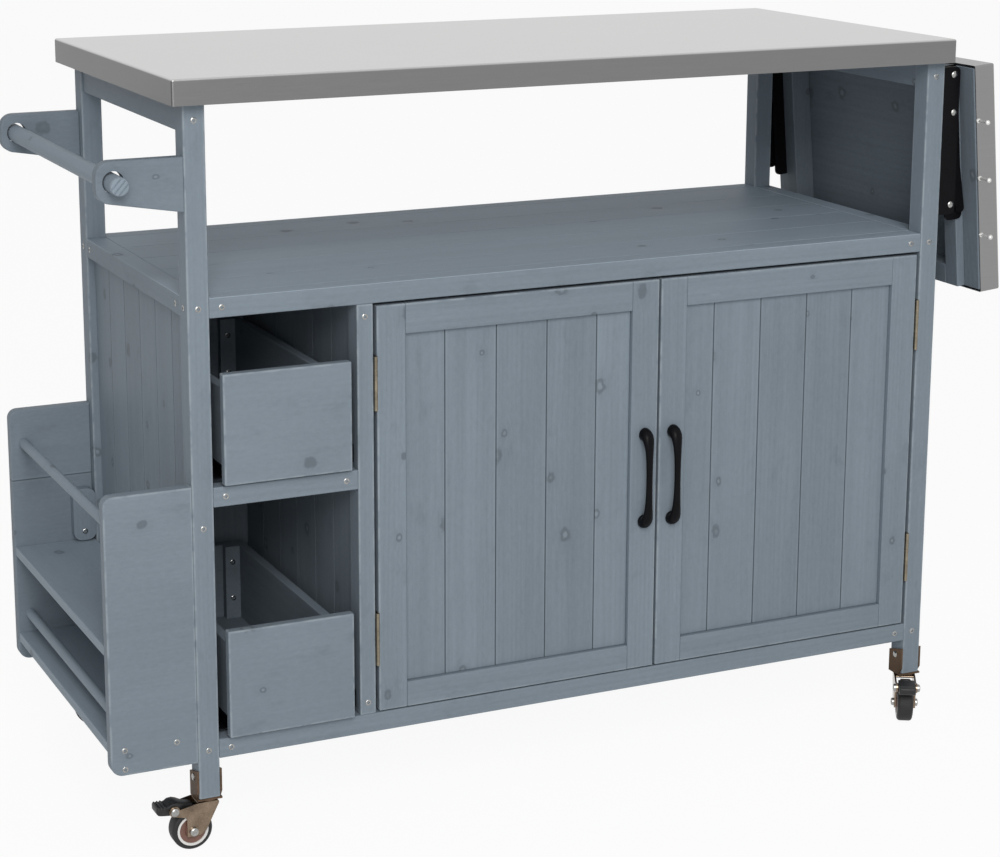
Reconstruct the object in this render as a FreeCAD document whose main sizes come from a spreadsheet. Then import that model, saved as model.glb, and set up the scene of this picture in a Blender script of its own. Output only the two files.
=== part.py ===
import FreeCAD, Part
import math
import os
import re

import Sketcher

# Outdoor bar cart: a painted fir carcass on four casters, with a steel worktop, an open shelf, two drawers
# and a two-door cupboard. A towel bar and a rack are on its left side, and a drop leaf on folding brackets
# is on its right. While it is drawn, X = 0 is the left face of the left posts, Y = 0 the front face of the
# front posts and Z = 0 the floor. Each finished piece is then moved so that the origin is the middle of the
# cart's footprint.

SIZES = {
    # Carcass
    "carcass_width": 1020,
    "carcass_depth": 440,
    "cart_height": 920,
    "post_width": 26,
    "post_depth": 28,
    "board_round": 1.4,
    # Worktop
    "steel_gauge": 1.2,
    "apron_depth": 30,
    "bend_round": 2.6,
    "core_thickness": 18,
    "overhang_left": 18,
    "overhang_right": 2,
    "overhang_front": 20,
    "overhang_back": 25,
    "top_rail_height": 45,
    "top_rail_thickness": 20,
    "top_rail_inset": 3,
    # Shelf, base and panels
    "shelf_height": 668,
    "base_height": 135.5,
    "rail_height": 24,
    "shelf_board": 12,
    "panel_board": 12,
    "panel_inset": 10,
    # Divider and drawer bays
    "drawer_bay_width": 180,
    "stile_width": 20.5,
    "bay_rail_top": 444.5,
    "bay_rail_depth": 20,
    # Drawers
    "drawer_width": 158,
    "drawer_height": 132,
    "drawer_front": 12,
    "drawer_proud": 10,
    "drawer_back_gap": 40,
    "drawer_foot_gap": 3,
    "drawer_side": 12,
    "drawer_side_inset": 5,
    "drawer_side_lift": 6,
    "drawer_side_drop": 20.5,
    "drawer_bottom": 6,
    "cleat_width": 20,
    "cleat_depth": 12,
    "slide_gauge": 1.2,
    "slide_clearance": 0.4,
    "slide_ledge": 8,
    "slide_height": 22,
    "slide_set_back": 14,
    "runner_height": 14,
    # Doors
    "door_thickness": 18,
    "door_stile": 37,
    "door_head_rail": 37,
    "door_foot_rail": 32,
    "door_board_share": 0.2239,
    "left_first_share": 0.1745,
    "right_first_share": 0.1383,
    "door_panel": 9,
    "door_panel_inset": 6,
    "door_head_gap": 3.5,
    "door_foot_gap": 1.5,
    "hinge_gap": 4.5,
    "meeting_gap": 3,
    # Door hinges
    "hinge_length": 66,
    "hinge_from_end": 60,
    "hinge_leaf": 1.5,
    "hinge_leaf_depth": 15,
    "hinge_proud": 1.5,
    "hinge_pin": 1.1,
    "hinge_joint": 0.3,
    "running_clearance": 0.05,
    # Door handles and catches
    "handle_height": 388.5,
    "handle_span": 113,
    "handle_stand_off": 16,
    "handle_bend": 12,
    "handle_bar": 4.5,
    "handle_foot": 8.5,
    "handle_foot_thickness": 4,
    "catch_length": 44,
    "catch_depth": 9,
    "catch_height": 12,
    "catch_clearance": 0.6,
    # Screw heads
    "screw_head": 3.8,
    "screw_rise": 0.9,
    "screw_from_end": 15,
    "screw_under_arm": 20,
    # Towel rail
    "bracket_drop": 89,
    "bracket_root": 63,
    "bracket_tip": 45.5,
    "bracket_length": 101,
    "bracket_thickness": 15,
    "bracket_round": 17,
    "bar_hole_inset": 20,
    "bar_hole_drop": 23.5,
    "towel_bar": 10.75,
    "bar_play": 1.75,
    "bar_seat_gap": 0.35,
    "bar_front_reach": 24,
    "bar_rear_reach": 14,
    # Rack
    "rack_depth": 106,
    "rack_low": 110,
    "rack_high": 448,
    "rack_end": 15,
    "rack_top_round": 12,
    "rack_foot_round": 15,
    "rack_shelf_height": 265,
    "rack_base_height": 147,
    "rack_shelf": 12,
    "rack_shelf_inset": 1,
    "rack_rod": 6.25,
    "rack_rod_inset": 17,
    "rack_upper_rod_drop": 44,
    "rack_lower_rod_rise": 25.5,
    "rack_block": 14,
    "rack_block_width": 30,
    "rack_block_rise": 2,
    "rack_block_height": 70,
    "rack_block_round": 11,
    # Drop leaf
    "leaf_length": 298.5,
    "leaf_gap": 2.4,
    "leaf_thickness": 42.4,
    "leaf_core": 12,
    "leaf_rail": 26,
    "leaf_fold": 85,
    "leaf_pivot_from_post": 15,
    "leaf_pivot_drop": 47.8,
    "leaf_rail_clearance": 0.6,
    "leaf_strip_over_strut": 1.5,
    # Folding brackets
    "arm_gauge": 2.4,
    "arm_front": 1.2,
    "arm_joint": 1,
    "wall_arm_drop": 230,
    "wall_arm_rise": 10,
    "wall_arm_reach": 25,
    "wall_web": 22,
    "wall_web_drop": 8,
    "leaf_arm_width": 26,
    "leaf_arm_lead": 11,
    "leaf_arm_tail": 15,
    "arm_round": 7,
    "fold_pin": 2.8,
    "strut_pin": 2.2,
    "rivet_head": 4.4,
    "rivet_rise": 0.9,
    "strut_width": 13,
    "strut_foot_inset": 7,
    "strut_foot_rise": 13,
    "strut_head_from_pivot": 177.5,
    "strut_head_rise": 8.3,
    "knee_lean": 0.5,
    "knee_rise": 120.12,
    # Peg hooks
    "hook_first": 71,
    "hook_pitch": 75.2,
    "hook_depth": 28,
    "hook_length": 18,
    "hook_shaft": 1.8,
    "hook_ball": 3.4,
    "hook_flange": 3,
    "hook_flange_thickness": 2,
    # Casters
    "saddle_gauge": 2.4,
    "saddle_height": 36,
    "saddle_front_height": 28,
    "saddle_foot_taper": 7,
    "saddle_taper_height": 8,
    "race": 14,
    "race_height": 1.2,
    "swivel_gap": 0.3,
    "crown_gap": 6.5,
    "crown_gauge": 3,
    "crown_lead": 11,
    "crown_reach": 15,
    "kingpin": 4,
    "kingpin_head": 6,
    "kingpin_head_height": 2.5,
    "wheel": 25,
    "wheel_width": 20,
    "wheel_round": 4,
    "wheel_trail": 21,
    "wheel_hub": 15,
    "hub_width": 22,
    "wheel_side_gap": 0.7,
    "fork_gauge": 2.4,
    "fork_half_foot": 8,
    "fork_foot": 6,
    "fork_step": 4,
    "axle": 3,
    "axle_head": 5,
    "axle_head_rise": 2.5,
    "brake_pin": 2.5,
    "brake_boss": 6,
    "brake_gap": 5.9,
    "brake_angle": 51.4,
    "brake_ear": 6.5,
    "pedal_side_gap": 0.5,
    "pedal_wheel_gap": 4.5,
    "pedal_inner_thickness": 4,
    "pedal_inner": 24,
    "pedal_rise": 10.5,
    "pedal_tread": 23,
    "pedal_tread_drop": 1,
    "pedal_tread_thickness": 9.5,
    "front_left_swivel": 180,
    "front_right_swivel": 240,
    "rear_left_swivel": 150,
    "rear_right_swivel": 205,
}

# Lines worked out from the sizes
LINES = {
    "inner_left": "post_width",
    "inner_right": "carcass_width - post_width",
    "inner_front": "post_depth",
    "inner_back": "carcass_depth - post_depth",
    "worktop_front": "-overhang_front",
    "worktop_back": "carcass_depth + overhang_back",
    "worktop_right": "carcass_width + overhang_right",
    "worktop_width": "carcass_width + overhang_left + overhang_right",
    "worktop_depth": "carcass_depth + overhang_front + overhang_back",
    "post_top": "cart_height - steel_gauge - core_thickness",
    "shelf_under": "shelf_height - rail_height",
    "stile_left": "post_width + drawer_bay_width",
    "stile_right": "stile_left + stile_width",
    "panel_low": "base_height",
    "panel_height": "shelf_under - base_height",
    "door_low": "base_height + door_foot_gap",
    "door_height": "shelf_under - door_head_gap - door_low",
    "door_width": "(inner_right - stile_right - 2 * hinge_gap - meeting_gap) / 2",
    "door_panel_width": "door_width - 2 * door_stile",
    "door_board": "door_panel_width * door_board_share",
    "left_door_first_board": "door_panel_width * left_first_share",
    "right_door_first_board": "door_panel_width * right_first_share",
    "left_door": "stile_right + hinge_gap",
    "right_door": "inner_right - hinge_gap - door_width",
    "left_hinge": "stile_right + hinge_gap / 2",
    "right_hinge": "inner_right - hinge_gap / 2",
    "upper_hinge": "door_low + door_height - hinge_from_end - hinge_length",
    "lower_hinge": "door_low + hinge_from_end",
    "drawer_left": "post_width + (drawer_bay_width - drawer_width) / 2",
    "drawer_right": "drawer_left + drawer_width",
    "box_left": "drawer_left + drawer_side_inset",
    "box_right": "drawer_right - drawer_side_inset",
    "box_front": "drawer_front - drawer_proud",
    "drawer_length": "carcass_depth - panel_inset - panel_board - drawer_back_gap - box_front",
    "box_height": "drawer_height - drawer_side_lift - drawer_side_drop",
    "rear_bracket": "carcass_depth - bracket_thickness",
    "rear_rack": "carcass_depth - rack_end",
    "rack_span": "carcass_depth - 2 * rack_end",
    "rack_outer": "-rack_depth + rack_shelf_inset",
    "bracket_top": "cart_height - bracket_drop",
    "bar_hole": "towel_bar + bar_play",
    "bar_x": "bar_hole_inset - bracket_length",
    "bar_hole_height": "bracket_top - bar_hole_drop",
    "bar_height": "bar_hole_height - bar_play + bar_seat_gap",
    "rack_rod_x": "rack_rod_inset - rack_depth",
    "leaf_inner": "worktop_right + leaf_gap",
    "leaf_outer": "leaf_inner + leaf_length",
    "leaf_under": "cart_height - leaf_thickness",
    "leaf_core_under": "cart_height - steel_gauge - leaf_core",
    "fold_x": "carcass_width + leaf_pivot_from_post",
    "fold_z": "cart_height - leaf_pivot_drop",
    "lower_strut_front": "arm_front + arm_gauge + arm_joint",
    "upper_strut_front": "lower_strut_front + arm_gauge + arm_joint",
    "leaf_arm_front": "upper_strut_front + arm_gauge + arm_joint",
    "leaf_rail_front": "leaf_arm_front + arm_gauge",
    "wall_arm_low": "cart_height - wall_arm_drop",
    "right_shelf_screw": "min(shelf_height - rail_height / 2; wall_arm_low - screw_under_arm)",
    "strut_foot_x": "carcass_width + wall_arm_reach - strut_foot_inset",
    "strut_foot_z": "wall_arm_low + strut_foot_rise",
    "raised_head_x": "fold_x + strut_head_from_pivot",
    "raised_head_z": "fold_z + strut_head_rise",
    "leaf_strip_low": "raised_head_z + strut_width / 2 + leaf_strip_over_strut",
    "head_x": "fold_x + strut_head_from_pivot * cos(leaf_fold) + strut_head_rise * sin(leaf_fold)",
    "head_z": "fold_z - strut_head_from_pivot * sin(leaf_fold) + strut_head_rise * cos(leaf_fold)",
    "knee_x": "strut_foot_x - knee_lean",
    "knee_z": "strut_foot_z + knee_rise",
    "lower_strut": "sqrt(knee_lean^2 + knee_rise^2)",
    "upper_strut": "sqrt((knee_x - head_x)^2 + (knee_z - head_z)^2)",
    "wheel_top": "2 * wheel",
    "crown_low": "wheel_top + crown_gap",
    "race_low": "crown_low + crown_gauge + swivel_gap",
    "post_foot": "race_low + race_height + saddle_gauge",
    "brake_off": "wheel + brake_boss + brake_gap",
    "brake_x": "wheel_trail + brake_off * cos(brake_angle)",
    "brake_z": "wheel + brake_off * sin(brake_angle)",
    "fork_gap": "hub_width / 2 + wheel_side_gap",
    "fork_outside": "fork_gap + fork_gauge",
    "pedal_half": "fork_gap - pedal_side_gap",
    "cart_right": "fold_x + (leaf_outer - fold_x) * cos(leaf_fold) + (cart_height - fold_z) * sin(leaf_fold)",
    "hook_tip": "worktop_front - hook_flange_thickness - hook_length - hook_ball",
    "pedal_reach": "(brake_x + pedal_tread) * sin(front_right_swivel)",
    "pedal_tip": "post_depth / 2 + pedal_reach - pedal_half * abs(cos(front_right_swivel))",
    "cart_front": "min(hook_tip; pedal_tip)",
    "origin_x": "(cart_right - rack_depth) / 2",
    "origin_y": "(worktop_back + cart_front) / 2",
}

SHELF_BOARDS = 5
SIDE_BOARDS = 6
BACK_BOARDS = 14
DOOR_BOARDS = 5
HOOKS = 3
Y_AXIS = FreeCAD.Vector(0, 1, 0)
Z_AXIS = FreeCAD.Vector(0, 0, 1)
ALONG = {
    "x": FreeCAD.Rotation(Y_AXIS, 90),
    "y": FreeCAD.Rotation(FreeCAD.Vector(1, 0, 0), -90),
    "z": FreeCAD.Rotation(),
}

doc = FreeCAD.newDocument("bar_cart")
sheet = doc.addObject("Spreadsheet::Sheet", "sizes")
for row, (alias, number) in enumerate(SIZES.items(), start=1):
    sheet.set(f"A{row}", alias)
    sheet.set(f"B{row}", str(number))
    sheet.setAlias(f"B{row}", alias)
doc.recompute()

nodes = []
serial = [0]


def term(text):
    """Turn the words of a formula into references to the sheet, working out lines on the way."""
    def swap(match):
        word = match.group(0)
        if word in LINES:
            return "(" + term(LINES[word]) + ")"
        return "sizes." + word if word in SIZES else word
    return re.sub(r"[a-z_]+[a-z]", swap, str(text))


def value(alias):
    """The number that the sheet holds for a size."""
    return float(sheet.get(alias))


def make(kind, name):
    """A new object of the document with a numbered name."""
    serial[0] += 1
    return doc.addObject(kind, f"{name}_{serial[0]}")


def bind(item, **formulas):
    """Tie properties of an object to formulas of the sheet."""
    for prop, text in formulas.items():
        item.setExpression(prop, term(text))
    return item


def place(item, x, y, z):
    """Tie the place of an object to formulas of the sheet."""
    for axis, text in zip("xyz", (x, y, z)):
        item.setExpression("Placement.Base." + axis, term(text))
    return item


def block(name, x, y, z, length, width, height):
    """A square-edged block from its low corner and its sizes along X, Y and Z."""
    item = bind(make("Part::Box", name), Length=length, Width=width, Height=height)
    return place(item, x, y, z)


def eased(base, chosen, alias):
    """Round the chosen edges of a solid, kept below half of its thinnest side across them."""
    doc.recompute()
    box = base.Shape.BoundBox
    picked = [(n, edge) for n, edge in enumerate(base.Shape.Edges, start=1) if chosen(edge, box)]
    sides = {"x": box.XLength, "y": box.YLength, "z": box.ZLength}
    across = [side for axis, side in sides.items() if not all(runs(edge, axis) for n, edge in picked)]
    radius = min(value(alias), 0.45 * min(across))
    item = make("Part::Fillet", base.Name)
    item.Base = base
    item.Edges = [(n, radius, radius) for n, edge in picked]
    return item


def every(edge, box):
    return True


def runs(edge, axis):
    """Whether a straight edge runs along an axis."""
    way = edge.Vertexes[-1].Point - edge.Vertexes[0].Point
    return way.Length > 0 and abs(abs(getattr(way, axis)) - way.Length) < 1e-6


def left_top(edge, box):
    spot = edge.CenterOfMass
    return runs(edge, "y") and spot.x < box.Center.x and spot.z > box.Center.z


def left_foot(edge, box):
    spot = edge.CenterOfMass
    return runs(edge, "y") and spot.x < box.Center.x and spot.z < box.Center.z


def right_ends(edge, box):
    return runs(edge, "y") and edge.CenterOfMass.x > box.Center.x


def along_y(edge, box):
    return runs(edge, "y")


def face_outline(edge, box):
    """Edges that lie in the front or the back face of an upright board."""
    span = edge.BoundBox
    return span.YLength < 1e-6


def tray_folds(edge, box):
    """The top edges and upright corners of a folded tray."""
    return edge.CenterOfMass.z > box.Center.z or runs(edge, "z")


def rim(edge, box):
    """Round edges of a disc or drum."""
    return len(edge.Vertexes) == 1


def board(name, x, y, z, length, width, height):
    """A planed board with eased edges, from its low corner."""
    return eased(block(name, x, y, z, length, width, height), every, "board_round")


def rod(name, axis, x, y, z, radius, length):
    """A round bar along an axis, from the centre of its low end."""
    item = bind(make("Part::Cylinder", name), Radius=radius, Height=length)
    item.Placement = FreeCAD.Placement(FreeCAD.Vector(), ALONG[axis])
    return place(item, x, y, z)


def fused(pieces):
    item = make("Part::MultiFuse", "joined")
    item.Shapes = pieces
    item.Refine = True
    return item


def cut(base, tool):
    item = make("Part::Cut", "cut")
    item.Base = base
    item.Tool = tool
    return item


def mirrored(base, middle):
    """The same piece on the other side of an upright plane across Y."""
    item = make("Part::Mirroring", "mirrored")
    item.Source = base
    item.Normal = Y_AXIS
    item.setExpression("Base.y", term(middle))
    return item


def plate(name, corners, back, thickness):
    """An upright plate: straight sides between corners given as X and Z, padded backwards from its front."""
    body = make("PartDesign::Body", name)
    sketch = body.newObject("Sketcher::SketchObject", body.Name + "_outline")
    flat = next(f for f in body.Origin.OriginFeatures if f.Role == "XZ_Plane")
    sketch.AttachmentSupport = (flat, [""])
    sketch.MapMode = "FlatFace"
    count = len(corners)
    ring = [FreeCAD.Vector(math.cos(2 * math.pi * k / count), math.sin(2 * math.pi * k / count), 0)
            for k in range(count)]
    for k in range(count):
        sketch.addGeometry(Part.LineSegment(ring[k], ring[(k + 1) % count]), False)
    for k in range(count):
        sketch.addConstraint(Sketcher.Constraint("Coincident", k, 2, (k + 1) % count, 1))
    for k, (x, z) in enumerate(corners):
        across = sketch.addConstraint(Sketcher.Constraint("DistanceX", k, 1, 1.0))
        sketch.setExpression(f"Constraints[{across}]", term(x))
        upward = sketch.addConstraint(Sketcher.Constraint("DistanceY", k, 1, 1.0))
        sketch.setExpression(f"Constraints[{upward}]", term(z))
    pad = body.newObject("PartDesign::Pad", body.Name + "_pad")
    pad.Profile = sketch
    pad.Reversed = True
    bind(pad, Length=thickness)
    return place(body, "0", back, "0")


def node(label, pieces, turn=None, at=None):
    """A finished sub-part: its solids, turned about a point if need be, and moved to the cart's origin."""
    group = doc.addObject("Part::Compound", label)
    group.Label = label
    group.Links = pieces
    x, y, z = at or ("0", "0", "0")
    if turn:
        axis, angle = turn
        group.Placement = FreeCAD.Placement(FreeCAD.Vector(), FreeCAD.Rotation(axis, 1))
        group.setExpression("Placement.Rotation.Angle", term(angle))
    place(group, f"{x} - origin_x", f"{y} - origin_y", z)
    nodes.append(group)


# Posts
for side, x in (("left", "0"), ("right", "inner_right")):
    for end, y in (("front", "0"), ("rear", "inner_back")):
        post = board("post", x, y, "post_foot", "post_width", "post_depth", "post_top - post_foot")
        node(f"post_{end}_{side}", [post])


# Folded steel trays and their wooden cores
def tray(name, x, length):
    """A sheet folded down on four sides, open below."""
    outside = block(name, x, "worktop_front", "cart_height - apron_depth", length, "worktop_depth",
                    "apron_depth")
    hollow = block(name + "_hollow", f"{x} + steel_gauge", "worktop_front + steel_gauge",
                   "cart_height - apron_depth - steel_gauge", f"{length} - 2 * steel_gauge",
                   "worktop_depth - 2 * steel_gauge", "apron_depth")
    return cut(eased(outside, tray_folds, "bend_round"), eased(hollow, tray_folds, "steel_gauge"))


def tray_core(name, x, length, thickness):
    """The board that fills the top of a tray, clear of its folds."""
    return board(name, f"{x} + bend_round", "worktop_front + bend_round",
                 f"cart_height - steel_gauge - {thickness}", f"{length} - 2 * bend_round",
                 "worktop_depth - 2 * bend_round", thickness)


node("worktop_steel", [tray("worktop_sheet", "-overhang_left", "worktop_width")])
node("worktop_core", [tray_core("worktop_board", "-overhang_left", "worktop_width", "core_thickness")])


# Rails under the worktop, round the shelf and round the base
def ring_of_rails(name, z):
    """Four rails flush with the posts' outer faces."""
    across = "inner_right - inner_left"
    deep = "inner_back - inner_front"
    return [
        board(name, "inner_left", "0", z, across, "post_depth", "rail_height"),
        board(name, "inner_left", "inner_back", z, across, "post_depth", "rail_height"),
        board(name, "0", "inner_front", z, "post_width", deep, "rail_height"),
        board(name, "inner_right", "inner_front", z, "post_width", deep, "rail_height"),
    ]


top_rail_low = "post_top - top_rail_height"
right_top_rail = "carcass_width - top_rail_inset - top_rail_thickness"
rear_top_rail = "carcass_depth - top_rail_inset - top_rail_thickness"
node("top_rails", [
    board("top_rail", "top_rail_inset", "inner_front", top_rail_low,
          "top_rail_thickness", "inner_back - inner_front", "top_rail_height"),
    board("top_rail", right_top_rail, "inner_front", top_rail_low,
          "top_rail_thickness", "inner_back - inner_front", "top_rail_height"),
    board("top_rail", "inner_left", rear_top_rail, top_rail_low,
          "inner_right - inner_left", "top_rail_thickness", "top_rail_height"),
])
node("shelf_rails", ring_of_rails("shelf_rail", "shelf_under"))
node("base_rails", ring_of_rails("base_rail", "base_height - rail_height"))


# Boarded surfaces
def lengthwise_boards(name, z):
    """Boards that run from the left to the right rail, side by side."""
    step = f"(inner_back - inner_front) / {SHELF_BOARDS}"
    return [board(name, "inner_left", f"inner_front + {k} * {step}", f"{z} - shelf_board",
                  "inner_right - inner_left", step, "shelf_board") for k in range(SHELF_BOARDS)]


def side_boards(name, x, z, height):
    """Upright boards side by side from the front to the rear posts."""
    step = f"(inner_back - inner_front) / {SIDE_BOARDS}"
    return [board(name, x, f"inner_front + {k} * {step}", z, "panel_board", step, height)
            for k in range(SIDE_BOARDS)]


back_step = f"(inner_right - inner_left) / {BACK_BOARDS}"
divider_x = "stile_left + (stile_width - panel_board) / 2"
node("shelf_boards", lengthwise_boards("shelf_board", "shelf_height"))
node("floor_boards", lengthwise_boards("floor_board", "base_height"))
node("side_boards_left", side_boards("left_board", "panel_inset", "panel_low", "panel_height"))
node("side_boards_right", side_boards("right_board", "carcass_width - panel_inset - panel_board",
                                      "panel_low", "panel_height"))
node("back_boards", [
    board("back_board", f"inner_left + {k} * {back_step}", "carcass_depth - panel_inset - panel_board",
          "panel_low", back_step, "panel_board", "panel_height") for k in range(BACK_BOARDS)])
node("divider_boards", side_boards("divider_board", divider_x, "panel_low",
                                   "shelf_height - shelf_board - panel_low"))
node("divider_stile", [board("stile", "stile_left", "0", "panel_low", "stile_width", "post_depth",
                             "panel_height")])
node("drawer_bay_rail", [board("bay_rail", "inner_left", "0", "bay_rail_top - rail_height",
                               "drawer_bay_width", "bay_rail_depth", "rail_height")])


# Drawers and their slides
def slide_angle(name, side, low):
    """An angle of thin steel on a bay wall, whose ledge carries the drawer's runner."""
    ledge_top = f"{low} + drawer_side_lift - slide_gauge - slide_clearance"
    reach = "(drawer_bay_width - drawer_width) / 2 + drawer_side_inset + slide_ledge"
    length = "box_front + drawer_length - slide_set_back"
    wall_x = "inner_left" if side == "left" else "stile_left - slide_gauge"
    ledge_x = "inner_left" if side == "left" else f"stile_left - ({reach})"
    low_edge = f"{ledge_top} - slide_gauge"
    wall = block(name, wall_x, "slide_set_back", low_edge, "slide_gauge", length, "slide_height")
    ledge = block(name, ledge_x, "slide_set_back", low_edge, reach, length, "slide_gauge")
    return fused([wall, ledge])


def runner_angle(name, side, low):
    """An angle of thin steel round the lower outer corner of a drawer side."""
    under = f"{low} + drawer_side_lift - slide_gauge"
    length = "drawer_length - slide_set_back"
    front = "box_front + slide_set_back / 2"
    wall_x = "box_left - slide_gauge" if side == "left" else "box_right"
    foot_x = "box_left - slide_gauge" if side == "left" else "box_right - drawer_side"
    wall = block(name, wall_x, front, under, "slide_gauge", length, "runner_height")
    foot = block(name, foot_x, front, under, "drawer_side + slide_gauge", length, "slide_gauge")
    return fused([wall, foot])


def drawer(name, low):
    """A front board on an open box, carried on two runners."""
    side_low = f"{low} + drawer_side_lift"
    back_y = "box_front + drawer_length - drawer_side"
    inside = "box_right - box_left - 2 * drawer_side"
    floor_top = f"{side_low} + drawer_bottom"
    cleat_height = "box_height - drawer_bottom"
    front = board("drawer_front", "drawer_left", "-drawer_proud", low, "drawer_width", "drawer_front",
                  "drawer_height")
    box = [board("drawer_side", x, "box_front", side_low, "drawer_side", "drawer_length", "box_height")
           for x in ("box_left", "box_right - drawer_side")]
    box.append(board("drawer_back", "box_left + drawer_side", back_y, side_low, inside, "drawer_side",
                     "box_height"))
    box.append(block("drawer_floor", "box_left + drawer_side", "box_front", side_low, inside,
                     "drawer_length - drawer_side", "drawer_bottom"))
    for x in ("box_left + drawer_side", "box_right - drawer_side - cleat_width"):
        box.append(block("drawer_cleat", x, f"{back_y} - cleat_depth", floor_top,
                         "cleat_width", "cleat_depth", cleat_height))
    node(f"{name}_front", [front])
    node(f"{name}_box", box)
    node(f"{name}_runners", [runner_angle("runner", side, low) for side in ("left", "right")])


drawers = {
    "drawer_upper": "bay_rail_top + drawer_foot_gap",
    "drawer_lower": "base_height + drawer_foot_gap",
}
for drawer_name, drawer_low in drawers.items():
    drawer(drawer_name, drawer_low)
node("drawer_slides", [slide_angle("slide", side, low) for low in drawers.values()
                       for side in ("left", "right")])


# Doors, hinged on butt hinges in the gap beside them
def hinge_knuckle(name, x, low, length, side):
    """A round knuckle on the hinge's axis with the tongue that joins it to its leaf."""
    tongue_x = x + (" - hinge_gap / 2" if side == "left" else " + hinge_gap / 2 - hinge_leaf")
    barrel = rod(name, "z", x, "-hinge_proud", low, "hinge_gap / 2", length)
    tongue = block(name, tongue_x, "-hinge_proud", low, "hinge_leaf", "hinge_proud + hinge_gap / 2", length)
    return [barrel, tongue]


def hinge_leaf(x, low, side):
    """The flat leaf of a hinge, against the wood on one side of the gap."""
    leaf_x = x + (" - hinge_gap / 2" if side == "left" else " + hinge_gap / 2 - hinge_leaf")
    return block("hinge_leaf", leaf_x, "hinge_gap / 2 - hinge_proud + hinge_joint", low,
                 "hinge_leaf", "hinge_leaf_depth", "hinge_length")


def fixed_hinge(x, low, side):
    """The leaf on the carcass, with the two outer knuckles and the pin."""
    third = "hinge_length / 3"
    pieces = [hinge_leaf(x, low, side)]
    pieces += hinge_knuckle("fixed_knuckle", x, low, third, side)
    pieces += hinge_knuckle("fixed_knuckle", x, f"{low} + 2 * {third}", third, side)
    pieces.append(rod("hinge_pin", "z", x, "-hinge_proud", low, "hinge_pin", "hinge_length"))
    return fused(pieces)


def moving_hinge(x, low, side):
    """The leaf on the door, with the middle knuckle bored for the pin."""
    third = "hinge_length / 3"
    knuckle = hinge_knuckle("door_knuckle", x, f"{low} + {third} + hinge_joint",
                            f"{third} - 2 * hinge_joint", side)
    bore = rod("hinge_bore", "z", x, "-hinge_proud", low, "hinge_pin + running_clearance", "hinge_length")
    return cut(fused([hinge_leaf(x, low, side)] + knuckle), bore)


def bow_handle(x):
    """A cast bow pull: a round bar that bends back into a flat foot at each end."""
    off, bend, half = value("handle_stand_off"), value("handle_bend"), value("handle_span") / 2
    corner = bend * (1 - math.cos(math.pi / 4))

    def spot(y, z):
        return FreeCAD.Vector(0, -y, z)

    leg = off - bend
    line = [
        Part.LineSegment(spot(0, -half), spot(leg, -half)),
        Part.Arc(spot(leg, -half), spot(off - corner, corner - half), spot(off, bend - half)),
        Part.LineSegment(spot(off, bend - half), spot(off, half - bend)),
        Part.Arc(spot(off, half - bend), spot(off - corner, half - corner), spot(leg, half)),
        Part.LineSegment(spot(leg, half), spot(0, half)),
    ]
    spine = make("Part::Feature", "handle_line")
    spine.Shape = Part.Wire([piece.toShape() for piece in line])
    place(spine, x, "0", "handle_height")
    section = bind(make("Part::Circle", "handle_section"), Radius="handle_bar")
    section.Placement = FreeCAD.Placement(FreeCAD.Vector(), FreeCAD.Rotation(FreeCAD.Vector(1, 0, 0), 90))
    place(section, x, "0", "handle_height - handle_span / 2")
    bow = make("Part::Sweep", "handle_bow")
    bow.Sections = [section]
    bow.Spine = (spine, [f"Edge{n}" for n in range(1, len(line) + 1)])
    bow.Solid = True
    feet = [rod("handle_foot", "y", x, "-handle_foot_thickness", f"handle_height {sign} handle_span / 2",
                "handle_foot", "handle_foot_thickness") for sign in "+-"]
    return fused([bow] + feet)


def door(name, x, first_board, handle_x, hinge_x, hinge_side):
    """Stiles and rails round a panel of boards, with its handle and its halves of the hinges."""
    panel_low = "door_low + door_foot_rail"
    panel_height = "door_height - door_foot_rail - door_head_rail"
    frame = [board("door_stile", at, "0", "door_low", "door_stile", "door_thickness", "door_height")
             for at in (x, f"{x} + door_width - door_stile")]
    frame.append(board("door_rail", f"{x} + door_stile", "0", "door_low", "door_panel_width",
                       "door_thickness", "door_foot_rail"))
    frame.append(board("door_rail", f"{x} + door_stile", "0", f"{panel_low} + {panel_height}",
                       "door_panel_width", "door_thickness", "door_head_rail"))
    seams = ["0"] + [f"({first_board} + {k} * door_board)" for k in range(DOOR_BOARDS - 1)]
    seams.append("door_panel_width")
    boards = [board("door_board", f"{x} + door_stile + {seams[k]}", "door_panel_inset", panel_low,
                    f"{seams[k + 1]} - {seams[k]}", "door_panel", panel_height) for k in range(DOOR_BOARDS)]
    node(f"{name}_frame", frame)
    node(f"{name}_boards", boards)
    node(f"{name}_handle", [bow_handle(handle_x)])
    node(f"{name}_hinges", [moving_hinge(hinge_x, low, hinge_side) for low in ("upper_hinge", "lower_hinge")])


door("door_left", "left_door", "left_door_first_board", "left_door + door_width - door_stile / 2",
     "left_hinge", "right")
door("door_right", "right_door", "right_door_first_board", "right_door + door_stile / 2",
     "right_hinge", "left")
node("door_hinge_plates", [fixed_hinge(x, low, side)
                           for x, side in (("left_hinge", "left"), ("right_hinge", "right"))
                           for low in ("upper_hinge", "lower_hinge")])
node("door_catches", [
    board("catch", f"{x} - catch_length / 2", "door_thickness + catch_clearance",
          "shelf_under - catch_height", "catch_length", "catch_depth", "catch_height")
    for x in ("left_door + door_width - door_stile", "right_door + door_stile")])


# Screw heads on the outer faces of the frame
def screw_head(axis, x, y, z):
    """A low pan head on a face square to an axis, rounded on both rims."""
    drum = rod("screw", axis, x, y, z, "screw_head", "screw_rise")
    return eased(drum, rim, "screw_rise")


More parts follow.
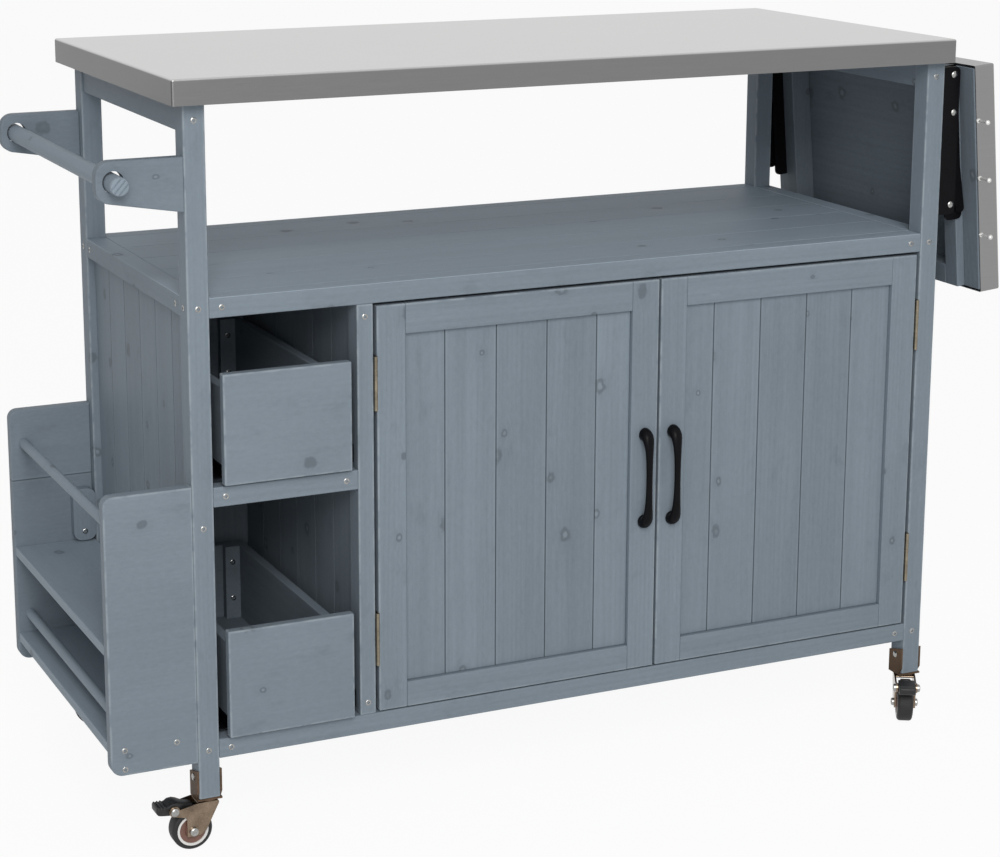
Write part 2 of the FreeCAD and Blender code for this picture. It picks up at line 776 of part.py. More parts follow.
post_middles = ("post_width / 2", "carcass_width - post_width / 2")
rail_ends = ("inner_left + screw_from_end", "inner_right - screw_from_end")
post_middles_deep = ("post_depth / 2", "carcass_depth - post_depth / 2")
rail_ends_deep = ("inner_front + screw_from_end", "inner_back - screw_from_end")
joint_heights = ("shelf_height - rail_height / 2", "base_height - rail_height / 2")
top_joint = "post_top - top_rail_height * 2 / 3"
face_spots = [(x, z) for x in post_middles + rail_ends for z in joint_heights]
face_spots += [(x, top_joint) for x in post_middles]
front_spots = face_spots + [(x, "bay_rail_top - rail_height / 2")
                            for x in ("inner_left + screw_from_end", "stile_left - screw_from_end")]
front_spots += [("post_width / 2", "bay_rail_top - 2 * rail_height"),
                ("-post_width", "rack_base_height - rack_shelf / 2"),
                ("rack_rod_x", "rack_base_height - rack_shelf / 2"),
                ("rack_rod_x", "rack_low + rack_foot_round / 2")]
front_spots += [("stile_left + stile_width / 2", z)
                for z in ("shelf_under - screw_from_end", "base_height + screw_from_end")]
side_spots = [(y, z) for y in post_middles_deep + rail_ends_deep for z in joint_heights]
side_spots += [(y, top_joint) for y in post_middles_deep]
left_spots = [(y, z) for y, z in side_spots if y in rail_ends_deep or z == joint_heights[0]]
right_spots = [(y, "right_shelf_screw" if y in post_middles_deep else z) for y, z in left_spots]
screws = [screw_head("y", x, "-screw_rise", z) for x, z in front_spots]
screws += [screw_head("y", x, "carcass_depth", z) for x, z in face_spots]
screws += [screw_head("x", "-screw_rise", y, z) for y, z in left_spots]
screws += [screw_head("x", "carcass_width", y, z) for y, z in right_spots]
node("frame_screws", screws)


# Towel rail: two tapered brackets and a loose dowel
def towel_bracket(y):
    corners = [("0", "bracket_top"), ("-bracket_length", "bracket_top"),
               ("-bracket_length", "bracket_top - bracket_tip"), ("0", "bracket_top - bracket_root")]
    blank = plate("towel_bracket", corners, y, "bracket_thickness")
    blank = eased(eased(blank, left_top, "bracket_round"), left_foot, "bracket_round")
    hole = rod("bar_hole", "y", "bar_x", y, "bar_hole_height", "bar_hole", "bracket_thickness")
    return cut(eased(blank, face_outline, "board_round"), hole)


node("towel_brackets", [towel_bracket("0"), towel_bracket("rear_bracket")])
node("towel_bar", [eased(rod("dowel", "y", "bar_x", "-bar_front_reach", "bar_height", "towel_bar",
                             "carcass_depth + bar_front_reach + bar_rear_reach"), rim, "board_round")])


# Rack
def rack_end(y):
    blank = block("rack_end", "-rack_depth", y, "rack_low", "rack_depth", "rack_end", "rack_high - rack_low")
    blank = eased(eased(blank, left_top, "rack_top_round"), left_foot, "rack_foot_round")
    return eased(blank, face_outline, "board_round")


def rack_block(y):
    blank = block("rack_block", "-rack_block_width", y, "rack_shelf_height + rack_block_rise",
                  "rack_block_width", "rack_block", "rack_block_height")
    return eased(blank, along_y, "rack_block_round")


node("rack_ends", [rack_end("0"), rack_end("rear_rack")])
node("rack_shelves", [
    board("rack_shelf", "rack_outer", "rack_end", "rack_shelf_height - rack_shelf",
          "-(rack_outer)", "rack_span", "rack_shelf"),
    board("rack_base", "rack_outer", "rack_end", "rack_base_height - rack_shelf",
          "-(rack_outer)", "rack_span", "rack_shelf"),
])
rod_heights = ("rack_high - rack_upper_rod_drop", "rack_base_height + rack_lower_rod_rise")
node("rack_rods", [rod("rack_rod", "y", "rack_rod_x", "rack_end", z, "rack_rod", "rack_span")
                   for z in rod_heights])
node("rack_blocks", [rack_block(y) for y in ("rack_end", "rear_rack - rack_block")])

# Drop leaf, drawn raised level with the worktop and then folded down about its pivot
rear_leaf_rail = "carcass_depth - leaf_rail_front - leaf_rail"
leaf_rail_x = "leaf_inner + bend_round + leaf_rail_clearance"
leaf_rail_length = "leaf_length - 2 * (bend_round + leaf_rail_clearance)"
leaf_rail_height = "leaf_core_under - leaf_under"
cross_width = "carcass_depth - 2 * (leaf_rail_front + leaf_rail)"
outer_cross = "leaf_outer - bend_round - leaf_rail_clearance - leaf_rail"
strip_front = "worktop_front + steel_gauge + leaf_rail_clearance"
strip_back = "worktop_front + worktop_depth - steel_gauge - leaf_rail_clearance"
rear_rail_back = "carcass_depth - leaf_rail_front"


def leaf_node(label, pieces):
    """A piece of the leaf, hanging folded about the pivot."""
    shift_x = "fold_x - fold_x * cos(leaf_fold) - fold_z * sin(leaf_fold)"
    shift_z = "fold_z + fold_x * sin(leaf_fold) - fold_z * cos(leaf_fold)"
    node(label, pieces, (Y_AXIS, "leaf_fold"), (shift_x, "0", shift_z))


leaf_frame = [tray_core("leaf_board", "leaf_inner", "leaf_length", "leaf_core")]
leaf_frame += [board("leaf_rail", leaf_rail_x, y, "leaf_under", leaf_rail_length, "leaf_rail",
                     leaf_rail_height) for y in ("leaf_rail_front", rear_leaf_rail)]
leaf_frame += [board("leaf_cross", x, "leaf_rail_front + leaf_rail", "leaf_under", "leaf_rail", cross_width,
                     leaf_rail_height) for x in (leaf_rail_x, outer_cross)]
leaf_frame += [board("leaf_strip", leaf_rail_x, low, "leaf_strip_low", leaf_rail_length, f"{high} - ({low})",
                     "leaf_core_under - leaf_strip_low")
               for low, high in ((strip_front, "leaf_rail_front"), (rear_rail_back, strip_back))]
leaf_node("leaf_steel", [tray("leaf_sheet", "leaf_inner", "leaf_length")])
leaf_node("leaf_frame", leaf_frame)


def peg_hook(x):
    """A round shaft on a small flange, with a ball on its tip."""
    z = "cart_height - hook_depth"
    flange = rod("hook_flange", "y", x, "worktop_front - hook_flange_thickness", z, "hook_flange",
                 "hook_flange_thickness")
    shaft = rod("hook_shaft", "y", x, "worktop_front - hook_flange_thickness - hook_length", z, "hook_shaft",
                "hook_length")
    ball = place(bind(make("Part::Sphere", "hook_ball"), Radius="hook_ball"), x,
                 "worktop_front - hook_flange_thickness - hook_length", z)
    return fused([flange, shaft, ball])


leaf_node("leaf_hooks", [peg_hook(f"leaf_inner + hook_first + {k} * hook_pitch") for k in range(HOOKS)])


# Folding brackets: a wall arm on each right post, an arm on each leaf rail and a strut of two links
def with_rear(piece):
    """A bracket piece at the front post and its mirror image at the rear post."""
    return [piece, mirrored(piece, "carcass_depth / 2")]


def wall_arm():
    """A flanged arm on the post, with the leaf's pivot pin and the strut's foot pin riveted into it."""
    reach, high = "carcass_width + wall_arm_reach", "fold_z + wall_arm_rise"
    corners = [("carcass_width", "wall_arm_low"), (reach, "wall_arm_low"), (reach, high),
               ("carcass_width", high)]
    cheek = eased(plate("wall_cheek", corners, "arm_front", "arm_gauge"), right_ends, "arm_round")
    web = block("wall_web", "carcass_width", "arm_front", "wall_arm_low", "arm_gauge", "wall_web",
                "fold_z - wall_web_drop - wall_arm_low")
    pivots = [("fold_x", "fold_z", "fold_pin", "leaf_rail_front + arm_joint / 2"),
              ("strut_foot_x", "strut_foot_z", "strut_pin", "upper_strut_front - arm_joint / 2")]
    pieces = [cheek, web]
    for x, z, radius, rear in pivots:
        pieces.append(rod("pivot_pin", "y", x, "arm_front", z, radius, f"{rear} - arm_front"))
        pieces.append(rod("rivet", "y", x, "arm_front - rivet_rise", z, "rivet_head", "rivet_rise"))
    return fused(pieces)


def leaf_arm():
    """A flat arm on the front of a leaf rail, bored for the fold pivot and carrying the strut's head pin."""
    left = "fold_x - leaf_arm_lead"
    right = "fold_x + strut_head_from_pivot + leaf_arm_tail"
    low, high = "fold_z - leaf_arm_width / 2", "fold_z + leaf_arm_width / 2"
    corners = [(left, low), (right, low), (right, high), (left, high)]
    strip = eased(plate("leaf_arm", corners, "leaf_arm_front", "arm_gauge"), along_y, "arm_round")
    bore = rod("fold_bore", "y", "fold_x", "leaf_arm_front", "fold_z", "fold_pin + running_clearance",
               "arm_gauge")
    x, z = "raised_head_x", "raised_head_z"
    pin_front = "upper_strut_front - arm_joint * 2 / 5"
    pin = rod("head_pin", "y", x, pin_front, z, "strut_pin", f"leaf_arm_front - ({pin_front})")
    head = rod("head_rivet", "y", x, f"{pin_front} - arm_joint / 2", z, "rivet_head", "arm_joint / 2")
    return fused([cut(strip, bore), pin, head])


def strut(name, front, length):
    """A link with round ends, drawn upright from its own pivot and bored for the pin there."""
    bar = block(name, "-strut_width / 2", front, "0", "strut_width", "arm_gauge", length)
    ends = [rod(name, "y", "0", front, z, "strut_width / 2", "arm_gauge") for z in ("0", length)]
    bore = rod("strut_bore", "y", "0", front, "0", "strut_pin + running_clearance", "arm_gauge")
    return cut(fused([bar] + ends), bore)


knee_rivet = rod("knee_rivet", "y", "0", "lower_strut_front - arm_joint / 2", "lower_strut", "rivet_head",
                 "arm_joint / 2")
lower_link = fused([strut("lower_link", "lower_strut_front", "lower_strut"), knee_rivet])
upper_link = strut("upper_link", "upper_strut_front", "upper_strut")
leaf_node("leaf_arms", with_rear(leaf_arm()))
node("leaf_wall_arms", with_rear(wall_arm()))
node("strut_lower_links", with_rear(lower_link),
     (Y_AXIS, "atan2(knee_x - strut_foot_x; knee_z - strut_foot_z)"), ("strut_foot_x", "0", "strut_foot_z"))
node("strut_upper_links", with_rear(upper_link),
     (Y_AXIS, "atan2(knee_x - head_x; knee_z - head_z)"), ("head_x", "0", "head_z"))


# Casters, each drawn round its own swivel axis with the wheel trailing along X
def saddle():
    """A steel saddle folded up both sides of a post's foot, with the fixed race and the kingpin below it."""
    half_x, half_y = "post_width / 2", "post_depth / 2"
    sole_low = "post_foot - saddle_gauge"
    corners = [(f"-{half_y}", sole_low), (f"{half_y} - saddle_foot_taper", sole_low),
               (half_y, "post_foot + saddle_taper_height"), (half_y, "post_foot + saddle_height"),
               (f"-{half_y}", "post_foot + saddle_front_height")]
    sole = block("saddle_sole", f"-{half_x} - saddle_gauge", f"-{half_y}", sole_low,
                 "post_width + 2 * saddle_gauge", "post_depth - saddle_foot_taper", "saddle_gauge")
    cheeks = []
    for x in (f"-{half_x} - saddle_gauge", half_x):
        cheek = plate("saddle_cheek", corners, "0", "saddle_gauge")
        cheek.Placement = FreeCAD.Placement(FreeCAD.Vector(), FreeCAD.Rotation(Z_AXIS, -90))
        cheeks.append(place(cheek, x, "0", "0"))
    race = rod("race", "z", "0", "0", "race_low", "race", "race_height")
    pin_low = "crown_low - swivel_gap - kingpin_head_height"
    pin = rod("kingpin", "z", "0", "0", pin_low, "kingpin", f"race_low - ({pin_low})")
    head = rod("kingpin_head", "z", "0", "0", pin_low, "kingpin_head", "kingpin_head_height")
    return fused([sole] + cheeks + [race, pin, head])


def fork(braked):
    """A crown bored for the kingpin, two legs and the axle; the braked one has ears for its pedal."""
    crown = block("crown", "-crown_lead", "-fork_outside", "crown_low", "crown_lead + crown_reach",
                  "2 * fork_outside", "crown_gauge")
    bore = rod("crown_bore", "z", "0", "0", "crown_low", "kingpin + running_clearance", "crown_gauge")
    back = "wheel_trail + fork_half_foot"
    leg = [("-crown_lead", "crown_low + crown_gauge"), ("-crown_lead", "crown_low"),
           ("wheel_trail - 2 * fork_half_foot", "wheel"), ("wheel_trail - fork_half_foot", "wheel - fork_foot"),
           (back, "wheel - fork_foot")]
    if braked:
        leg += [(back, "brake_z - brake_ear - fork_step"), ("brake_x", "brake_z - brake_ear"),
                ("brake_x", "brake_z")]
    else:
        leg.append((back, "wheel + fork_half_foot"))
    leg.append(("crown_reach", "crown_low + crown_gauge"))
    pieces = [cut(eased(crown, along_y, "board_round"), bore)]
    for y in ("fork_gap", "-fork_outside"):
        pieces.append(eased(plate("fork_leg", leg, y, "fork_gauge"), along_y, "board_round"))
        if braked:
            pieces.append(rod("brake_ear", "y", "brake_x", y, "brake_z", "brake_ear", "fork_gauge"))
    pins = [("wheel_trail", "wheel", "axle", "axle_head")]
    if braked:
        pins.append(("brake_x", "brake_z", "brake_pin", "axle_head"))
    for x, z, radius, head in pins:
        pieces.append(rod("fork_pin", "y", x, "-fork_outside - axle_head_rise", z, radius,
                          "2 * (fork_outside + axle_head_rise)"))
        for y in ("-fork_outside - axle_head_rise", "fork_outside"):
            pieces.append(rod("fork_pin_head", "y", x, y, z, head, "axle_head_rise"))
    return fused(pieces)


def wheel():
    """A tyre with rounded shoulders round a wider hub that is bored for the axle."""
    tread = eased(rod("tyre", "y", "wheel_trail", "-wheel_width / 2", "wheel", "wheel", "wheel_width"),
                  rim, "wheel_round")
    seat = rod("tyre_seat", "y", "wheel_trail", "-hub_width / 2", "wheel", "wheel_hub", "hub_width")
    hub = rod("hub", "y", "wheel_trail", "-hub_width / 2", "wheel", "wheel_hub", "hub_width")
    bore = rod("hub_bore", "y", "wheel_trail", "-hub_width / 2", "wheel", "axle + running_clearance",
               "hub_width")
    return [cut(tread, seat), cut(hub, bore)]


def pedal():
    """A moulded lever on the brake pin, between the fork's legs, with a tread at its outer end."""
    inner, outer = "brake_x - pedal_inner", "brake_x + pedal_tread"
    tread_low = "brake_z - pedal_tread_drop"
    outline = [(inner, "wheel_top + pedal_wheel_gap"), ("brake_x", "brake_z"), (outer, tread_low),
               (outer, f"{tread_low} + pedal_tread_thickness"), ("brake_x", "brake_z + pedal_rise"),
               (inner, "wheel_top + pedal_wheel_gap + pedal_inner_thickness")]
    lever = plate("pedal_lever", outline, "-pedal_half", "2 * pedal_half")
    boss = rod("pedal_boss", "y", "brake_x", "-pedal_half", "brake_z", "brake_boss", "2 * pedal_half")
    bore = rod("pedal_bore", "y", "brake_x", "-pedal_half", "brake_z", "brake_pin + running_clearance",
               "2 * pedal_half")
    return cut(fused([eased(lever, along_y, "board_round"), boss]), bore)


left_post, right_post = post_middles
front_post, rear_post = post_middles_deep
casters = {
    "front_left": (left_post, front_post),
    "front_right": (right_post, front_post),
    "rear_left": (left_post, rear_post),
    "rear_right": (right_post, rear_post),
}
forks = {"front": fork(True), "rear": fork(False)}
wheel_pieces = wheel()
brake_pedal = pedal()
saddles = []
for corner, (x, y) in casters.items():
    swivel = (Z_AXIS, corner + "_swivel")
    end = corner.split("_")[0]
    node("caster_fork_" + corner, [forks[end]], swivel, (x, y, "0"))
    node("caster_wheel_" + corner, wheel_pieces, swivel, (x, y, "0"))
    if end == "front":
        node("brake_pedal_" + corner, [brake_pedal], swivel, (x, y, "0"))
    stand = make("Part::Compound", "saddle_at")
    stand.Links = [saddle()]
    saddles.append(place(stand, x, y, "0"))
node("caster_saddles", saddles)

# Every piece is checked before any is written
doc.recompute()
for item in doc.Objects:
    if "Invalid" in item.State or "Error" in item.State:
        raise RuntimeError(f"{item.Name} failed: {item.State}")
for group in nodes:
    if group.Shape.isNull() or not group.Shape.isValid() or not group.Shape.Solids:
        raise RuntimeError(f"{group.Label} has no valid solid")

os.makedirs("parts", exist_ok=True)
for group in nodes:
    group.Shape.exportStep(f"parts/{group.Label}.step")
print(len(nodes), "sub-parts,", sum(len(group.Shape.Solids) for group in nodes), "solids")
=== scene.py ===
# %% [markdown]
# An outdoor bar cart stands on four casters: a carcass of grey-blue stained fir under a steel worktop, with
# two drawers, a cupboard, a rack and towel bar on its left and a drop leaf on its right.
# Its solids are already built, so this lesson starts from them. Every place below is measured from one corner
# of the front left post, in millimetres, because that is how a joiner would mark out such a carcass.

# %% The cart's solids
import math

import bpy
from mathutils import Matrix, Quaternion, Vector


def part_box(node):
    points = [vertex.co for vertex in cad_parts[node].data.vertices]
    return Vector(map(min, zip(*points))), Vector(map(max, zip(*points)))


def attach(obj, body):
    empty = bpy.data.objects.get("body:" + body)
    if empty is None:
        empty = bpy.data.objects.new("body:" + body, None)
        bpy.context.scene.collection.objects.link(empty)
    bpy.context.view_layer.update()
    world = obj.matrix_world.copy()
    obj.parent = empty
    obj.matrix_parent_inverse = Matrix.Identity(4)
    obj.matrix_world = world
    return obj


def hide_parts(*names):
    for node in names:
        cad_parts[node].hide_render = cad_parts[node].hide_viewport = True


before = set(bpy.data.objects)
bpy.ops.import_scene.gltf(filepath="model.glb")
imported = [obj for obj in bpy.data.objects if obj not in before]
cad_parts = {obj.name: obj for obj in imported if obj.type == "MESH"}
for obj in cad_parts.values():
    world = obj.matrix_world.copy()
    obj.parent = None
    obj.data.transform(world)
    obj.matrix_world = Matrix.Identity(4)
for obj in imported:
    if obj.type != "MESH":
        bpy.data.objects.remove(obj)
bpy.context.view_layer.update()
post_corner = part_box("post_front_left")[0]
CART_WIDTH, CART_DEPTH = 1020, 440
MIDDLE_X, MIDDLE_Y = CART_WIDTH / 2, CART_DEPTH / 2


def spot(x, y, z):
    """A place on the cart: millimetres from the front left post's outer corner and from the floor."""
    return Vector((post_corner.x + x / 1000, post_corner.y + y / 1000, z / 1000))


# %% [markdown]
# The camera stands to the left of the cart and a little above its worktop, and looks down on it.
# A long lens keeps the upright posts nearly parallel. The small shift slides the picture on the sensor, as a
# view camera does, so that the cart fills the frame without tilting the camera further.

# %% Camera
YAW, PITCH = 0.4263, 0.2229
CAMERA_PLACE = spot(-809.4, -2520, 1231.2)

bpy.ops.object.camera_add(location=CAMERA_PLACE, rotation=(math.pi / 2 - PITCH, 0, -YAW))
camera = bpy.context.object
camera.name = "camera"
camera.data.sensor_width = 36
camera.data.lens = 85.92
camera.data.shift_x = 0.0423
camera.data.shift_y = -0.1
bpy.context.scene.camera = camera
bpy.context.scene.view_settings.view_transform = "Standard"
print("camera at", [round(v, 3) for v in camera.location])

# %% [markdown]
# Finishes are made of nodes, and a chain of nodes is easiest to read as a formula. This class wraps one
# socket. Arithmetic on it adds a Math node for each operator, so 1 - mask means what it says.
# Everything that isn't plain arithmetic goes through one method, which takes a node's type, its settings and
# the values or links of its sockets.

# %% A socket that does arithmetic
class Flow:
    """A socket in a node tree; arithmetic on it adds Math nodes."""

    def __init__(self, tree, socket=None):
        self.tree = tree
        self.socket = socket

    def node(self, kind, settings=None, inputs=None, output=0):
        """Add a node of a type, with its settings, then the values or links of its sockets."""
        step = self.tree.nodes.new("ShaderNode" + kind)
        for name, setting in (settings or {}).items():
            setattr(step, name, setting)
        for name, value in (inputs or {}).items():
            if isinstance(value, Flow):
                self.tree.links.new(value.socket, step.inputs[name])
            else:
                step.inputs[name].default_value = value
        return Flow(self.tree, step.outputs[output])

    def out(self, name):
        """Another output of the node that this socket belongs to."""
        return Flow(self.tree, self.socket.node.outputs[name])

    def feed(self, shader, name):
        """Link this socket into an input of a shader node."""
        self.tree.links.new(self.socket, shader.inputs[name])

    def math(self, operation, first, second=0.0):
        return self.node("Math", {"operation": operation}, {0: first, 1: second})

    def ramp(self, low, high):
        """0 up to low, 1 from high on, and a smooth rise between them."""
        return self.node("MapRange", {"interpolation_type": "SMOOTHSTEP"},
                         {"Value": self, "From Min": low, "From Max": high})

    def __add__(self, other):
        return self.math("ADD", self, other)

    def __sub__(self, other):
        return self.math("SUBTRACT", self, other)

    def __rsub__(self, other):
        return self.math("SUBTRACT", other, self)

    def __mul__(self, other):
        return self.math("MULTIPLY", self, other)

    def __truediv__(self, other):
        return self.math("DIVIDE", self, other)

    def __pow__(self, other):
        return self.math("POWER", self, other)

    def __lt__(self, other):
        return self.math("LESS_THAN", self, other)

    def __gt__(self, other):
        return self.math("GREATER_THAN", self, other)

    def __abs__(self):
        return self.math("ABSOLUTE", self)

    def __floor__(self):
        return self.math("FLOOR", self)

    __radd__ = __add__
    __rmul__ = __mul__


def blended(flow, how, share, under, over):
    """A Mix node for colours: its factor is socket 0, its two colours are 6 and 7, and it gives output 2."""
    return flow.node("Mix", {"data_type": "RGBA", "blend_type": how}, {0: share, 6: under, 7: over}, 2)


def mixed(share, under, over):
    """One colour laid over another by a share from 0 to 1."""
    return blended(share, "MIX", share, under, over)


def shaded(colour, light):
    """A colour made lighter or darker by a value round 1."""
    return blended(light, "MULTIPLY", 1.0, colour, light)


def stretched(place, x, y, z):
    """Coordinates pulled out or pressed together along each axis."""
    return place.node("VectorMath", {"operation": "MULTIPLY"}, {0: place, 1: (x, y, z)})


def noise(place, scale, detail=2.0, rough=0.5):
    """Soft random clouds, round 0.5."""
    return place.node("TexNoise", {}, {"Vector": place, "Scale": scale, "Detail": detail, "Roughness": rough},
                      "Fac")


print("Flow is ready")

# %% [markdown]
# The cart stands on white, so the floor is pale and nearly shadowless. A real studio does this with a lit
# sweep of paper. Here a Light Path node does it: rays from the camera, and the mirror rays that metal sends
# out, see white, while the light that falls on the wood stays at a plain level.
# Some of the floor is still ordinary matt paper, which keeps a soft shadow under the casters.

# %% Floor and white surroundings
AMBIENT = 0.37
PAPER_GLOW = 0.93
FLOOR_SIZE = 40


def white_rays(flow):
    """1 for rays that should find a white studio: from the camera, from gloss and through glass."""
    camera_ray = flow.node("LightPath", output="Is Camera Ray")
    total = camera_ray + camera_ray.out("Is Glossy Ray") + camera_ray.out("Is Transmission Ray")
    return total.math("MINIMUM", total, 1.0)


world = bpy.data.worlds.new("white_studio")
bpy.context.scene.world = world
world.use_nodes = True
sky = world.node_tree.nodes["Background"]
sky.inputs["Color"].default_value = (1, 1, 1, 1)
(AMBIENT + white_rays(Flow(world.node_tree)) * (1 - AMBIENT)).feed(sky, "Strength")

bpy.ops.object.select_all(action="DESELECT")
bpy.ops.mesh.primitive_plane_add(size=FLOOR_SIZE, location=(0, 0, 0))
floor = bpy.context.object
floor.name = "floor"
paper = bpy.data.materials.new("white_paper")
paper.use_nodes = True
flow = Flow(paper.node_tree)
matt = flow.node("BsdfDiffuse", inputs={"Color": (0.9, 0.9, 0.9, 1)})
glow = flow.node("Emission", inputs={"Color": (1, 1, 1, 1), "Strength": 1.0})
sheet = flow.node("MixShader", inputs={0: white_rays(flow) * PAPER_GLOW, 1: matt, 2: glow})
sheet.feed(paper.node_tree.nodes["Material Output"], "Surface")
floor.data.materials.append(paper)
print("floor and surroundings are white, ambient light", AMBIENT)

# %% [markdown]
# Two large soft lamps light the cart, as two softboxes would. The key lamp is high up in front and to the
# left, so it reaches the front half of the shelf and the rack. The fill lamp stands beside the camera, low
# enough to look into the drawer bays.
# Together with the ambient light they bring a front face to about the colour that its finish is written in.

# %% Softboxes
def softbox(name, place, target, size, watts):
    """A square area lamp that looks at a target."""
    bpy.ops.object.light_add(type="AREA", location=place)
    lamp = bpy.context.object
    lamp.name = name
    lamp.data.size = size
    lamp.data.energy = watts
    lamp.rotation_euler = (target - place).to_track_quat("-Z", "Y").to_euler()


middle = spot(MIDDLE_X, MIDDLE_Y, 450)
softbox("key_lamp", spot(-1070, -4470, 3670), middle, size=2.5, watts=161)
softbox("fill_lamp", spot(-1460, -3870, 1640), middle, size=2.2, watts=43)
print("two softboxes look at", [round(v, 2) for v in middle])

# %% [markdown]
# The carcass is fir with a thin grey-blue stain. Close up, such a board shows the lines of its growth rings,
# fine fibres, a few small knots that the rings flow round, and a slightly different tone from the board
# beside it. Stain rubs thin along the edges.
# A photograph of wood would do, but it can't follow each board. Here the rings come from the distance to an
# imagined heart of the tree, so a flat-sawn board gets its arches and straight lines by itself.
# These are the steps towards it: coordinates, knots, boards that lie side by side, and edges.

# %% Steps towards a wood finish
KNOT_CELLS, KNOT_CHANCE, KNOT_SIZE, NO_KNOT = 11.5, 0.45, 0.0046, 0.00005
ACROSS = {"x": "yzx", "y": "xzy", "z": "xyz"}


def new_finish(name):
    """A material with its shader, and the object's own coordinates to draw on."""
    finish = bpy.data.materials.new(name)
    finish.use_nodes = True
    shader = finish.node_tree.nodes["Principled BSDF"]
    place = Flow(finish.node_tree).node("TexCoord", output="Object")
    return finish, shader, place


def axes_of(place):
    """The three coordinates of a place, by name."""
    x = place.node("SeparateXYZ", inputs={0: place}, output="X")
    return {"x": x, "y": x.out("Y"), "z": x.out("Z")}


def joined(x, y, z=0.0):
    """Three values as one place."""
    first = next(v for v in (x, y, z) if isinstance(v, Flow))
    return first.node("CombineXYZ", inputs={0: x, 1: y, 2: z})


def bump(height, strength, depth):
    """A surface normal from a height map; depth is in metres."""
    return height.node("Bump", inputs={"Height": height, "Strength": strength, "Distance": depth})


def fibre_axes(place, axes, grain, turned):
    """Coordinates across (x, y) and along (z) the fibres; where a mask says so, the grain turns."""
    fibre_place = joined(*(axes[letter] for letter in ACROSS[grain]))
    if turned:
        other_grain, mask = turned
        other_place = joined(*(axes[letter] for letter in ACROSS[other_grain]))
        fibre_place = place.node("Mix", {"data_type": "VECTOR"},
                                 {0: mask(axes), 4: fibre_place, 5: other_place}, 1)
    return axes_of(fibre_place)


def knots(place):
    """Distance to the nearest knot, in multiples of its radius, and how hollow it looks. Many cells have
    none."""
    cell = place.node("TexVoronoi", {"voronoi_dimensions": "2D"}, {"Vector": place, "Scale": KNOT_CELLS})
    luck = axes_of(cell.out("Color"))
    radius = (luck["y"] * KNOT_SIZE + KNOT_SIZE * 0.5) * (luck["x"] > 1 - KNOT_CHANCE) + NO_KNOT
    return cell / KNOT_CELLS / radius, luck["z"].ramp(0.1, 0.6)


def board_at(place, axes, boards):
    """The luck of the board at a place, the distance from the heart of its tree and that from its edge."""
    lay, start, width = boards
    step = (lay(axes) - start) / width
    index = math.floor(step)
    luck = place.node("TexWhiteNoise", {"noise_dimensions": "1D"}, {"W": index + width * 31}, "Value")
    from_middle = (step - index - 0.5) * width
    return luck, from_middle + (luck - 0.5) * width * 1.2, width / 2 - abs(from_middle)


def edge_gap(axes, node):
    """For a place on the faces of a node's box, the distance to the nearest edge of the box."""
    low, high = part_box(node)
    x, y, z = ((high[k] - low[k]) / 2 - abs(axes[letter] - (high[k] + low[k]) / 2)
               for k, letter in enumerate("xyz"))
    return x.math("MAXIMUM", x.math("MINIMUM", x, y), x.math("MINIMUM", x.math("MAXIMUM", x, y), z))


print("knots of up to", KNOT_SIZE * 1500, "mm radius, in", KNOT_CHANCE, "of all cells")

# %% [markdown]
# Now the wood itself. Every value round 1 in it makes the stain a little lighter or darker: the luck of the
# board, broad streaks, fine threads, pores and scuffs. The lamps reach the shelf only at a low angle, so light
# is
# painted onto it: its upper face is coloured lighter than its edges.

# %% Stained fir
STAIN = (0.188, 0.226, 0.263, 1)
KNOT = (0.08, 0.094, 0.108, 1)
RUBBED = (0.3, 0.34, 0.37, 1)
POOLED = (0.04, 0.05, 0.062, 1)
WOOD_GLOSS = 0.18
RING_WIDTH = 0.0058
SHELF_HEIGHT, SHELF_PAINTED_LIGHT, SHELF_SKIN = 0.668, 1.6, 0.0008


